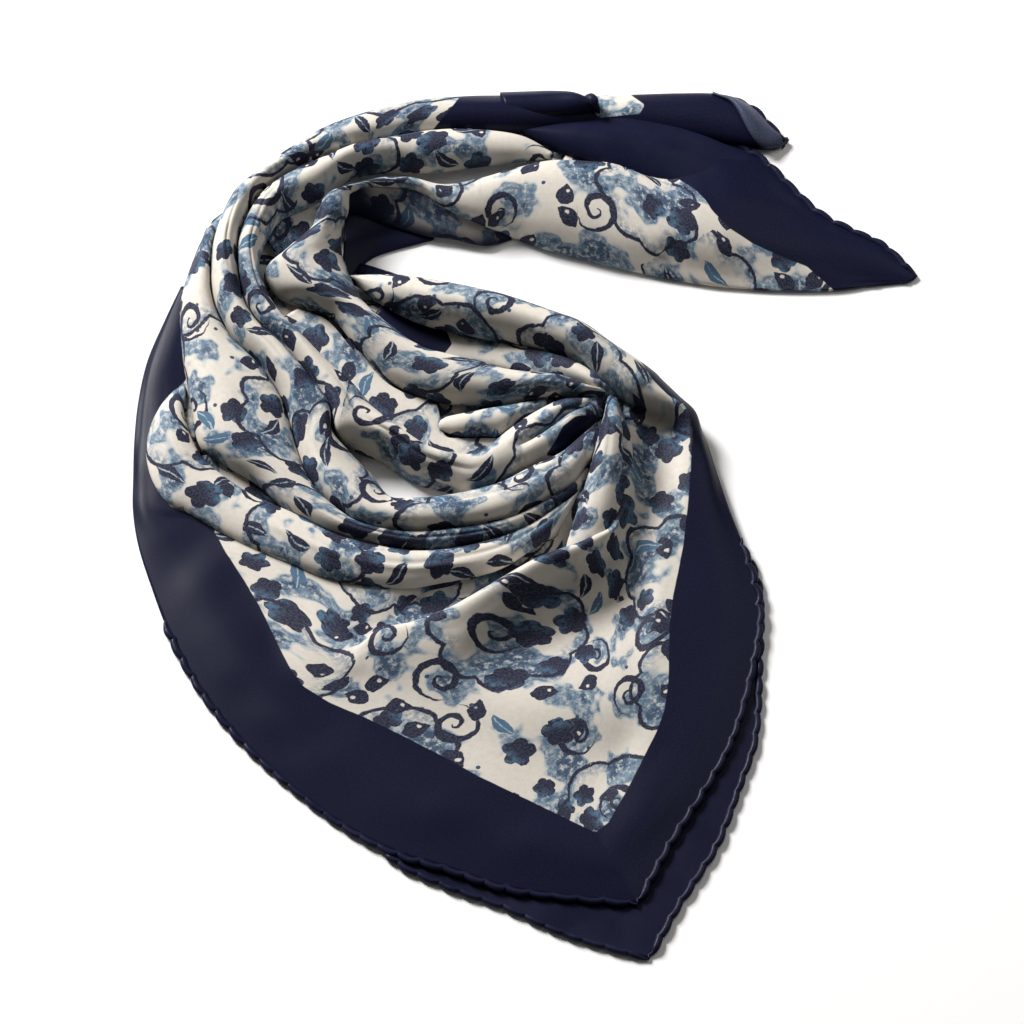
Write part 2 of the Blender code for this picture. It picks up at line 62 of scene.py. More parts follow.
def smoothRows(rows, at):
    # a smooth curve through the rows, read at fractional row numbers
    p = np.array(rows, float)
    if p.ndim == 1:
        p = p[:, None]
    p = np.vstack([2 * p[0] - p[1], p, 2 * p[-1] - p[-2]])
    i = np.minimum(at.astype(int), len(p) - 4)
    t = (at - i)[:, None]
    a, b, c, d = p[i], p[i + 1], p[i + 2], p[i + 3]
    square, cube = (2 * a - 5 * b + 4 * c - d) * t ** 2, (3 * b - a - 3 * c + d) * t ** 3
    return .5 * (2 * b + (c - a) * t + square + cube)


def stationsFor(rails, step):
    # fractional row numbers, about one step of cloth apart
    rails = [np.array(r, float)[:, :2] for r in rails]
    at = []
    for i in range(len(rails[0]) - 1):
        longest = max(np.linalg.norm(r[i + 1] - r[i]) for r in rails)
        count = max(2, int(math.ceil(longest * mm / step)))
        at.extend(i + np.arange(count) / count)
    at.append(len(rails[0]) - 1)
    return np.array(at)


def softNoise(x, y, seed):
    # smooth noise on a lattice, from -1 to 1
    xi, yi = np.floor(x), np.floor(y)
    fx, fy = x - xi, y - yi
    fx, fy = fx * fx * (3 - 2 * fx), fy * fy * (3 - 2 * fy)

    def corner(ix, iy):
        n = np.sin(ix * 127.1 + iy * 311.7 + seed * 74.7) * 43758.5453
        return (n - np.floor(n)) * 2 - 1

    low = corner(xi, yi) * (1 - fx) + corner(xi + 1, yi) * fx
    high = corner(xi, yi + 1) * (1 - fx) + corner(xi + 1, yi + 1) * fx
    return low * (1 - fy) + high * fy


def gridNormals(grid):
    along = np.gradient(grid, axis=0)
    across = np.gradient(grid, axis=1)
    normal = np.cross(along, across)
    length = np.linalg.norm(normal, axis=-1, keepdims=True)
    normal = normal / np.maximum(length, 1e-12)
    middle = normal[:, normal.shape[1] // 2, 2].mean()
    return normal if middle > 0 else -normal


def gridSizes(grid):
    # metres along the middle column, and across each row from its middle
    mid = grid.shape[1] // 2
    along = np.concatenate([[0], np.cumsum(np.linalg.norm(np.diff(grid[:, mid], axis=0), axis=1))])
    across = np.cumsum(np.linalg.norm(np.diff(grid, axis=1), axis=2), axis=1)
    across = np.concatenate([np.zeros((len(grid), 1)), across], axis=1)
    return along, across - across[:, mid:mid + 1]


def smoothStep(low, high, x):
    t = np.clip((x - low) / (high - low), 0, 1)
    return t * t * (3 - 2 * t)


# cloth
cloth = {
    "thickness": 0.45 * mm,
    "step": 1.7 * mm,
    "floor": 0.35 * mm,
    "columns": 26,
    # how round a fold's back is, and the least it stands over its edges, in mm
    "fullness": 0.85,
    "leastRise": 0.6,
    # the radius and the run of an edge curled under, in mm, and where on the curl its rows lie
    "tuck": (4.5, 4),
    "leastTuck": 0.3 * mm,
    "curlAngles": (22, 45, 68, 90),
    "ripples": [(70, 9, 0.7)],
}


def meshFromGrid(name, grid, uv, border=None):
    rows, columns = grid.shape[:2]
    index = np.arange(rows * columns).reshape(rows, columns)
    quads = np.stack([index[:-1, :-1], index[:-1, 1:], index[1:, 1:], index[1:, :-1]], -1).reshape(-1, 4)
    a, b, d = grid[:-1, :-1], grid[:-1, 1:], grid[1:, :-1]
    if np.cross(b - a, d - a)[..., 2].sum() < 0:
        quads = quads[:, ::-1]
    mesh = bpy.data.meshes.new(name)
    mesh.from_pydata(grid.reshape(-1, 3).tolist(), [], quads.tolist())
    layer = mesh.uv_layers.new(name="print")
    loops = np.zeros(len(mesh.loops), np.int32)
    mesh.loops.foreach_get("vertex_index", loops)
    layer.data.foreach_set("uv", uv.reshape(-1, 2)[loops].astype(np.float32).ravel())
    mark = mesh.attributes.new("border", "FLOAT", "POINT")
    values = np.full(rows * columns, 1.0) if border is None else border.ravel()
    mark.data.foreach_set("value", values.astype(np.float32))
    mesh.shade_smooth()
    piece = bpy.data.objects.new(name, mesh)
    bpy.context.scene.collection.objects.link(piece)
    return piece


def applyModifiers(piece):
    bpy.ops.object.select_all(action="DESELECT")
    bpy.context.view_layer.objects.active = piece
    piece.select_set(True)
    for modifier in list(piece.modifiers):
        bpy.ops.object.modifier_apply(modifier=modifier.name)
    piece.select_set(False)


def thicken(piece, thickness=None):
    wall = piece.modifiers.new("wall", "SOLIDIFY")
    wall.thickness = thickness or cloth["thickness"]
    wall.offset = -1
    applyModifiers(piece)


def foldGrid(look):
    # each row arches from its far line over its crest to its near line, then curls under at both
    far, near, crest = look["far"], look["near"], look["crest"]
    at = stationsFor([far, near], look.get("step", cloth["step"]))
    start, end = lay(smoothRows(far, at)), lay(smoothRows(near, at))
    top = smoothRows(crest, at) * mm
    columns = look.get("columns", cloth["columns"])
    share = np.linspace(0, 1, columns)
    turn = math.pi * share
    move = ((1 - np.cos(turn)) / 2)[None, :, None]
    rise = np.maximum(top - (start[:, 2:] + end[:, 2:]) / 2, look.get("leastRise", cloth["leastRise"]) * mm)
    grid = start[:, None] * (1 - move) + end[:, None] * move
    grid[..., 2] += rise * np.sin(turn)[None] ** look.get("fullness", cloth["fullness"])
    inward = (end - start) * [1, 1, 0]
    inward /= np.maximum(np.linalg.norm(inward, axis=1, keepdims=True), 1e-9)
    parts, shares = [grid], [np.tile(share, (len(at), 1))]
    for side, edge, way in (("tuckFar", start, inward), ("tuckNear", end, -inward)):
        radius, run = look.get(side, cloth["tuck"])
        if radius == 0:
            continue
        radius = np.clip(edge[:, 2] - cloth["floor"], cloth["leastTuck"], radius * mm)[:, None]
        curl = []
        for angle in cloth["curlAngles"]:
            a = math.radians(angle)
            down = radius * math.sin(a) * np.array([0, 0, 1])
            curl.append(edge + way * radius * (1 - math.cos(a)) - down)
        for reach in (0.5, 1):
            curl.append(curl[3] + way * run * reach * mm)
        curl = np.stack(curl, 1)
        if side == "tuckFar":
            parts.insert(0, curl[:, ::-1])
            shares.insert(0, np.full(curl.shape[:2], -0.02))
        else:
            parts.append(curl)
            shares.append(np.full(curl.shape[:2], 1.02))
    return np.concatenate(parts, 1), at, np.concatenate(shares, 1)


def addRipples(grid, at, share, look):
    # long soft waves in the cloth, then creases at their own places, all along the surface normal
    normal = gridNormals(grid)
    along, across = gridSizes(grid)
    u = along[:, None] / mm + 0 * across
    v = across / mm
    calm = np.clip(np.sin(math.pi * np.clip(share, 0, 1)), 0, 1) ** 0.6
    push = np.zeros(across.shape)
    for long, short, height in look.get("ripples", cloth["ripples"]):
        push += softNoise(u / long, v / short, look.get("seed", 1) + long) * height * calm
    for crease in look.get("creases", []):
        # (first row, last row, share at first, share at last, height, width in mm)
        first, last, s0, s1, height, width = crease
        t = (at - first) / (last - first)
        middle = s0 + (s1 - s0) * np.clip(t, 0, 1)
        ends = smoothStep(0, 0.22, t) * smoothStep(0, 0.22, (last - at) / (last - first))
        size = np.ptp(across, axis=1)
        distance = (share - middle[:, None]) * size[:, None] / mm
        push += height * np.exp(-(distance / width) ** 2) * ends[:, None] * (share >= 0) * (share <= 1)
    grid = grid + normal * push[..., None] * mm
    grid[..., 2] = np.maximum(grid[..., 2], cloth["floor"])
    return grid


def makeFold(name, look):
    grid, at, share = foldGrid(look)
    grid = addRipples(grid, at, share, look)
    along, across = gridSizes(grid)
    placeU, placeV = look.get("printAt", (0, 0))
    uv = np.stack([along[:, None] + 0 * across + placeU, across + placeV], -1)
    border = None
    if "printEdge" in look:
        border = insideEdge(grid, look["printEdge"])
    if "printPatch" in look:
        border = np.maximum(border, insideEdge(grid, look["printPatch"]))
    # a painted shade patch: navy painted over the print where a hollow lies in shade
    if "paintedShadePatch" in look:
        border = -insideEdge(grid, look["paintedShadePatch"])
    piece = meshFromGrid(name, grid, uv, border)
    thicken(piece)
    print(name, "length", round(along[-1], 3), "width", round(float(np.ptp(across, axis=1).mean()), 3),
          "faces", len(piece.data.polygons))
    return piece, grid


# fold lines, (across, up, height) in mm
upperTailFar = [
    (131, 193, 1.6), (122.5, 200, 1.6), (110.5, 211, 1.6), (96.5, 215, 1.6), (77, 215.5, 1.6),
    (57, 215, 1.6), (37, 214.5, 1.6), (17, 214.5, 1.6), (-8, 214, 1.6), (-30.5, 213, 1.6)]
upperTailNear = [
    (130, 190.5, 1.6), (123.5, 188, 1.6), (109.5, 189, 2), (89, 192, 2), (71, 194, 2),
    (53, 195, 2), (36, 196, 3), (17, 197, 5), (-8, 196, 7), (-48, 195, 8)]
upperTailCrest = [4, 6, 9, 10, 10, 10, 10, 12, 15, 17]
middleOuter = [
    (-31.5, 213, 1.6), (-58, 209.5, 1.6), (-98, 195.5, 1.6), (-121, 181, 1.6), (-138, 168.5, 1.6),
    (-148.5, 159.5, 1.6), (-155.5, 144.5, 9), (-158, 129.5, 12), (-156.5, 109.5, 12), (-147, 91, 12),
    (-132.5, 77, 12), (-122.5, 62, 12), (-117, 45.5, 12), (-113, 32, 12), (-106.5, 19, 12),
    (-96, 8, 12), (-80.5, -2, 12), (-59, -5.5, 12), (-38, -4, 12), (-21, -1.5, 13), (-4.5, 3, 14),
    (11.5, 11.5, 15), (23, 19.5, 16), (31, 30, 17)]
middleInner = [
    (-49, 195, 8), (-71, 190.5, 9), (-88, 186, 10), (-110.5, 177, 11), (-125.5, 168.5, 12),
    (-135.5, 159, 12), (-142, 146.5, 12), (-144.5, 133, 12), (-141.5, 112, 12), (-134, 98.5, 12),
    (-120.5, 86.5, 13), (-108, 72, 16), (-98, 59.5, 19), (-97, 46, 19), (-88, 34, 9), (-77, 22, 1.8),
    (-66.5, 9.5, 1.8), (-54.5, 9, 1.8), (-41, 10.5, 5), (-27, 14, 7), (-13, 18.5, 9), (2, 26.5, 12),
    (17, 34, 14), (27, 43, 16)]
middleCrest = [
    17, 20, 24, 27, 28, 28, 28, 28, 28, 28, 28, 28, 27, 26, 25, 24, 24, 24, 24, 24, 25, 26, 26, 25]
outerSide = [
    (-160, 146.5, 1.8), (-167, 131, 1.8), (-173, 109.5, 6), (-172, 84.5, 8), (-169.5, 69.5, 9),
    (-167, 57, 10), (-163.5, 39.5, 10), (-152, 30.5, 10), (-137, 22, 10), (-118, 6, 11), (-93, -6, 11),
    (-62, -13, 11), (-40.5, -13, 11), (-18, -8.5, 12), (0.5, -1.5, 13), (16, 8.5, 14), (25.5, 15.5, 15)]
outerCrest = [11, 18, 22, 24, 25, 25, 24, 23, 22, 21, 20, 19, 19, 19, 20, 20, 19]
innerStart = [(14, 185.5, 8), (-3, 193.5, 8), (-28, 196, 8)]
innerRim = [
    (-73, 31.5, 1.6), (-57, 21, 1.6), (-40.5, 16.5, 1.8), (-27, 14.5, 7),
    (-13, 19.5, 9), (2, 27.5, 12), (17, 35, 14), (27, 44, 16), (34.5, 50.5, 17)]
innerSide = [
    (12, 184, 9), (-8, 182, 10), (-30.5, 179, 10), (-50.5, 176.5, 10), (-70.5, 177, 10),
    (-88, 174, 11), (-104, 161, 12), (-117, 155, 12), (-124.5, 151, 12), (-130, 142, 12),
    (-134, 130.5, 12), (-130, 114, 12), (-123, 102, 12), (-111.5, 90, 12), (-98, 77, 12),
    (-87, 69, 12), (-78, 59, 12), (-69.5, 50.5, 12), (-60.5, 43, 12), (-49, 36, 12), (-37, 32, 12),
    (-27, 33, 12), (-18, 37.5, 12), (-6, 47.5, 13), (7, 55.5, 14), (18, 60.5, 16), (29.5, 61.5, 18)]
innerCrest = [
    10, 16, 20, 22, 24, 26, 28, 29, 29, 28, 28, 28, 28, 28, 27, 26, 25, 24, 23, 22, 22, 22, 23, 24, 26,
    27, 26]
nookSide = [(-100.5, 157, 12), (-110, 143, 12), (-115, 138, 12), (-124, 132.5, 12)]
hollowSide = [
    (-114, 107.5, 12), (-99.5, 102, 12), (-87.5, 88.5, 12), (-78, 79, 12), (-68, 69.5, 12),
    (-56, 64, 12), (-45, 60, 12), (-41, 45, 12), (-33, 43, 12), (-22, 43, 12), (-12, 43, 12)]
archLeft = [
    (-98, 166, 24), (-104.5, 156, 20), (-110, 141.5, 14), (-123.5, 130.5, 12), (-131, 124, 12),
    (-125, 114, 12), (-112.5, 109, 12), (-97.5, 103, 12), (-85.5, 89, 12), (-76.5, 79.5, 12),
    (-66, 70.5, 12), (-50.5, 63, 12), (-30.5, 60, 13), (-12, 59, 14), (7, 62.5, 16), (27, 64, 20)]
archRight = [
    (-87, 167, 22), (-89, 156, 16), (-93, 143, 10), (-92, 132.5, 8), (-89, 125.5, 8), (-84, 114, 12),
    (-79, 107.5, 14), (-70, 99, 14), (-58, 90.5, 14), (-47.5, 85, 14), (-34.5, 82, 14), (-21, 79, 14),
    (-10.5, 75, 14), (2, 73, 16), (17, 72, 20), (32, 67, 24)]
archCrest = [27, 29, 31, 31, 30, 29, 28, 28, 28, 28, 28, 28, 28, 28, 28, 28]
curtainFoot = [
    (-87, 155, 5), (-69, 149.5, 4), (-50, 144.5, 4), (-38, 143, 4), (-20, 139.5, 3)]
strandUpper = [
    (-75.5, 173, 18), (-58.5, 173, 14), (-41.5, 169.5, 11), (-23.5, 172, 10),
    (-6, 176.5, 9), (12.5, 180.5, 8), (31.5, 180.5, 8), (47.5, 178.5, 8)]
strandLower = [
    (-86, 168.5, 22), (-70.5, 168.5, 18), (-54, 166.5, 16), (-40, 158, 14), (-22.5, 150, 8),
    (-8.5, 144, 1.6), (7.5, 138, 1.6), (27, 133, 1.6), (43.5, 129, 1.6)]
strandCrest = [23, 22, 21, 21, 21, 21, 20, 19]
tailFar = [
    (-2, 197.5, 6), (17, 201, 5), (37, 204.5, 1.8), (56, 204.5, 1.8), (82, 198, 1.8),
    (101.5, 189.5, 1.6), (119.5, 180.5, 1.6), (137, 165, 1.6)]
wingUpper = [
    (-88, 122.5, 5), (-63.5, 119.5, 1.6), (-41.5, 115.5, 1.6), (-23, 111, 1.6), (-3, 105.5, 1.6),
    (17, 98, 1.6), (35.5, 90, 1.6)]
wingLower = [
    (-83.5, 119, 10), (-71, 109, 14), (-53, 100.5, 14), (-35.5, 96, 14), (-17, 92, 15), (2, 88, 16),
    (22.5, 81, 18), (37, 72, 20)]
wingCrest = [14, 26, 31, 33, 34, 34, 34]
underfoldSide = [
    (-76, 105, 9.5), (-61, 93.5, 9.5), (-41, 84.5, 10), (-20.5, 80, 12.5), (2, 74, 16), (17, 73, 19),
    (33, 68, 23)]
underfoldCrest = [9.8, 10, 11, 15, 21, 26, 28]
shortUpper = [
    (-40, 52.5, 13), (-32, 54, 13), (-20.5, 56, 13), (-10.5, 57.5, 13), (-1.5, 59, 14), (7.5, 61, 16)]
shortLower = [
    (-39.5, 46.5, 13), (-32, 44.5, 13), (-20.5, 44.5, 13), (-11.5, 44.5, 13), (-3, 49.9, 13.5),
    (6, 55.7, 14.5)]
shortCrest = [16, 19, 21, 22, 21, 18]
centreLeft = [
    (40.5, 62, 20), (39, 54, 19), (36.5, 44.5, 18), (33, 31, 17), (29, 17, 15), (25, 4, 13),
    (20.5, -10, 12), (19, -20, 11)]
centreRight = [
    (46, 61, 20), (48, 54.5, 18), (52, 43.5, 14), (53.5, 32, 13), (52, 20, 12), (47.5, 1, 11),
    (42.5, -12, 11), (38, -21, 11)]
centreCrest = [26, 30, 31, 30, 28, 26, 22, 17]


# print and silk
def nodeKit(tree):
    # short ways to add nodes to one tree
    def add(kind, **settings):
        node = tree.nodes.new(kind)
        for key, value in settings.items():
            setattr(node, key, value)
        return node

    def feed(socket, value):
        if isinstance(value, bpy.types.NodeSocket):
            tree.links.new(value, socket)
        elif value is not None:
            socket.default_value = value

    def calc(operation, a, b=None, c=None, clamp=False):
        node = add("ShaderNodeMath", operation=operation, use_clamp=clamp)
        for socket, value in zip(node.inputs, (a, b, c)):
            feed(socket, value)
        return node.outputs[0]

    def vector(operation, a, b=None, scale=None):
        node = add("ShaderNodeVectorMath", operation=operation)
        feed(node.inputs[0], a)
        feed(node.inputs[1], b)
        if scale is not None:
            feed(node.inputs["Scale"], scale)
        return node.outputs["Value" if operation in ("LENGTH", "DISTANCE", "DOT_PRODUCT") else "Vector"]

    def blend(share, a, b):
        node = add("ShaderNodeMix", data_type="RGBA", clamp_factor=True)
        feed(node.inputs[0], share)
        feed(node.inputs[6], a)
        feed(node.inputs[7], b)
        return node.outputs[2]

    def ramp(value, low, high, start=0.0, end=1.0):
        node = add("ShaderNodeMapRange", interpolation_type="SMOOTHSTEP")
        for name, given in (("Value", value), ("From Min", low), ("From Max", high),
                            ("To Min", start), ("To Max", end)):
            feed(node.inputs[name], given)
        return node.outputs[0]

    def noise(place, scale, detail=2.0, rough=0.5):
        node = add("ShaderNodeTexNoise", noise_dimensions="3D")
        feed(node.inputs["Vector"], place)
        feed(node.inputs["Scale"], scale)
        feed(node.inputs["Detail"], detail)
        feed(node.inputs["Roughness"], rough)
        return node.outputs["Fac"], node.outputs["Color"]

    def group(name, **values):
        node = add("ShaderNodeGroup", node_tree=bpy.data.node_groups[name])
        for key, value in values.items():
            feed(node.inputs[key.replace("_", " ")], value)
        return node.outputs

    def split(place):
        node = add("ShaderNodeSeparateXYZ")
        feed(node.inputs[0], place)
        return node.outputs

    return add, feed, calc, vector, blend, ramp, noise, group, split


def newGroup(name, inputs, outputs):
    tree = bpy.data.node_groups.new(name, "ShaderNodeTree")
    for label, kind, value in inputs:
        socket = tree.interface.new_socket(name=label, in_out="INPUT", socket_type="NodeSocket" + kind)
        if value is not None:
            socket.default_value = value
    for label, kind in outputs:
        tree.interface.new_socket(name=label, in_out="OUTPUT", socket_type="NodeSocket" + kind)
    return tree, tree.nodes.new("NodeGroupInput").outputs, tree.nodes.new("NodeGroupOutput").inputs


def makeScatter():
    # cuts a plane into jittered cells, each with its own turned plane and random numbers
    tree, given, out = newGroup(
        "scatteredCells",
        [("Vector", "Vector", None), ("Cell", "Float", 0.02), ("Jitter", "Float", 0.7),
         ("Turn", "Float", 1.0)],
        [("Local", "Vector"), ("Centre", "Vector"), ("Random A", "Float"), ("Random B", "Float"),
         ("Random C", "Float")])
    add, feed, calc, vector, blend, ramp, noise, group, split = nodeKit(tree)
    cells = add("ShaderNodeTexVoronoi", voronoi_dimensions="2D", feature="F1")
    feed(cells.inputs["Vector"], given["Vector"])
    feed(cells.inputs["Scale"], calc("DIVIDE", 1.0, given["Cell"]))
    feed(cells.inputs["Randomness"], given["Jitter"])
    away = vector("SUBTRACT", given["Vector"], cells.outputs["Position"])
    chance = add("ShaderNodeSeparateColor")
    feed(chance.inputs[0], cells.outputs["Color"])
    turned = add("ShaderNodeVectorRotate", rotation_type="Z_AXIS")
    feed(turned.inputs["Vector"], away)
    fullTurn = calc("MULTIPLY", given["Turn"], math.tau)
    feed(turned.inputs["Angle"], calc("MULTIPLY", chance.outputs[0], fullTurn))
    feed(out["Local"], turned.outputs[0])
    feed(out["Centre"], cells.outputs["Position"])
    feed(out["Random A"], chance.outputs[0])
    feed(out["Random B"], chance.outputs[1])
    feed(out["Random C"], chance.outputs[2])


def makeFlower():
    # a lobed flower: how far inside its outline a point lies, in metres, and its share of the radius
    tree, given, out = newGroup(
        "flowerShape",
        [("Local", "Vector", None), ("Radius", "Float", 0.006), ("Petals", "Float", 5.0),
         ("Depth", "Float", 0.2)],
        [("Inside", "Float"), ("Share", "Float")])
    add, feed, calc, vector, blend, ramp, noise, group, split = nodeKit(tree)
    x, y, z = split(given["Local"])
    angle = calc("ARCTAN2", y, x)
    far = vector("LENGTH", given["Local"])
    halfTurns = calc("MULTIPLY", given["Petals"], 0.5)
    lobes = calc("ABSOLUTE", calc("COSINE", calc("MULTIPLY", angle, halfTurns)))
    reach = calc("ADD", calc("SUBTRACT", 1.0, given["Depth"]), calc("MULTIPLY", lobes, given["Depth"]))
    edge = calc("MULTIPLY", reach, given["Radius"])
    feed(out["Inside"], calc("SUBTRACT", edge, far))
    feed(out["Share"], calc("DIVIDE", far, edge))


def makeLeaf():
    # a pointed leaf along local x
    tree, given, out = newGroup(
        "leafShape",
        [("Local", "Vector", None), ("Length", "Float", 0.01), ("Width", "Float", 0.004),
         ("Bend", "Float", 0.0)],
        [("Inside", "Float"), ("Vein", "Float")])
    add, feed, calc, vector, blend, ramp, noise, group, split = nodeKit(tree)
    x, y, z = split(given["Local"])
    along = calc("DIVIDE", x, given["Length"])
    bow = calc("MULTIPLY", calc("MULTIPLY", along, along), given["Bend"])
    side = calc("ABSOLUTE", calc("ADD", y, bow))
    room = calc("SUBTRACT", 1.0, calc("MULTIPLY", along, along))
    lean = calc("ADD", 1.0, calc("MULTIPLY", along, -0.35))
    half = calc("MULTIPLY", calc("MULTIPLY", room, lean), given["Width"])
    feed(out["Inside"], calc("SUBTRACT", half, side))
    feed(out["Vein"], side)


def makeCurl():
    # a rolled tendril: distance inside its line
    tree, given, out = newGroup(
        "curlShape",
        [("Local", "Vector", None), ("Radius", "Float", 0.01), ("Line", "Float", 0.001),
         ("Turns", "Float", 1.7)],
        [("Inside", "Float")])
    add, feed, calc, vector, blend, ramp, noise, group, split = nodeKit(tree)
    x, y, z = split(given["Local"])
    angle = calc("DIVIDE", calc("ARCTAN2", y, x), math.tau)
    far = calc("DIVIDE", vector("LENGTH", given["Local"]), given["Radius"])
    winding = calc("MULTIPLY", calc("POWER", far, 0.75), given["Turns"])
    phase = calc("FRACT", calc("SUBTRACT", winding, angle))
    off = calc("ABSOLUTE", calc("SUBTRACT", phase, 0.5))
    gap = calc("DIVIDE", calc("MULTIPLY", off, given["Radius"]), given["Turns"])
    thick = calc("MULTIPLY", given["Line"], calc("ADD", 0.5, far))
    rim = calc("MULTIPLY", calc("SUBTRACT", 1.0, far), given["Radius"])
    feed(out["Inside"], calc("MINIMUM", calc("SUBTRACT", thick, gap), rim))


def makeWeave():
    # crepe grain: fine threads both ways, broken by short random pebbles
    tree, given, out = newGroup(
        "crepeWeave",
        [("Vector", "Vector", None), ("Thread", "Float", 0.0008), ("Pebble", "Float", 0.001)],
        [("Height", "Float"), ("Tone", "Float")])
    add, feed, calc, vector, blend, ramp, noise, group, split = nodeKit(tree)
    x, y, z = split(given["Vector"])
    warp = calc("SINE", calc("MULTIPLY", x, calc("DIVIDE", math.tau, given["Thread"])))
    weft = calc("SINE", calc("MULTIPLY", y, calc("DIVIDE", math.tau, given["Thread"])))
    pebble, _ = noise(given["Vector"], calc("DIVIDE", 1.0, given["Pebble"]), 2.0, 0.6)
    threads = calc("MULTIPLY", calc("ADD", warp, weft), 0.08)
    feed(out["Height"], calc("ADD", threads, pebble))
    feed(out["Tone"], pebble)


# colours of the print, and its sizes in metres
printLook = {
    "ground": (0.535, 0.495, 0.438, 1),
    "groundShade": (0.495, 0.45, 0.39, 1),
    "navy": (0.0095, 0.0108, 0.029, 1),
    "inkBlue": (0.024, 0.046, 0.088, 1),
    "midBlue": (0.052, 0.108, 0.172, 1),
    "paleBlue": (0.265, 0.325, 0.36, 1),
    "border": (0.0046, 0.0054, 0.0185, 1),
    "borderThread": (0.012, 0.0135, 0.034, 1),
    "flowerCell": 0.0182, "flowerRadius": 0.0084,
    "berryCell": 0.0170, "berryMove": (0.0113, 0.0071, 0.0),
    "curlCell": 0.036, "curlMove": (0.031, 0.017, 0.0),
    "dotCell": 0.013, "medallionCell": 0.085,
    # noises of the print, in waves to a metre
    "wobbleScale": 210.0, "driftScale": 34.0, "grainScale": 1250.0, "mottleScale": 330.0, "cloudScale": 46.0,
    # a medallion's fewest petals, smallest radius and how much larger it may be
    "medallionPetals": 6.0, "medallionRadius": 0.026, "medallionSpread": 0.012,
    # how strongly each wash covers the ground
    "shadeShare": 0.85, "paleShare": 0.6, "washShare": 0.95, "deepShare": 0.9,
    # the share of scattered cells that hold flowers, and of those that hold dots
    "flowerShare": 0.66, "dotShare": 0.25,
    # how far the outlines wander, and how soft they are
    "wobble": 0.0026, "drift": 0.006, "soft": 0.0004,
    # the sprays' noise, and where on it flowers, berries, dots and curls lie
    "sprayScale": 15.0, "flowersOver": 0.49, "berriesOver": 0.43, "dotsUnder": 0.47, "curlsUnder": 0.44,
}


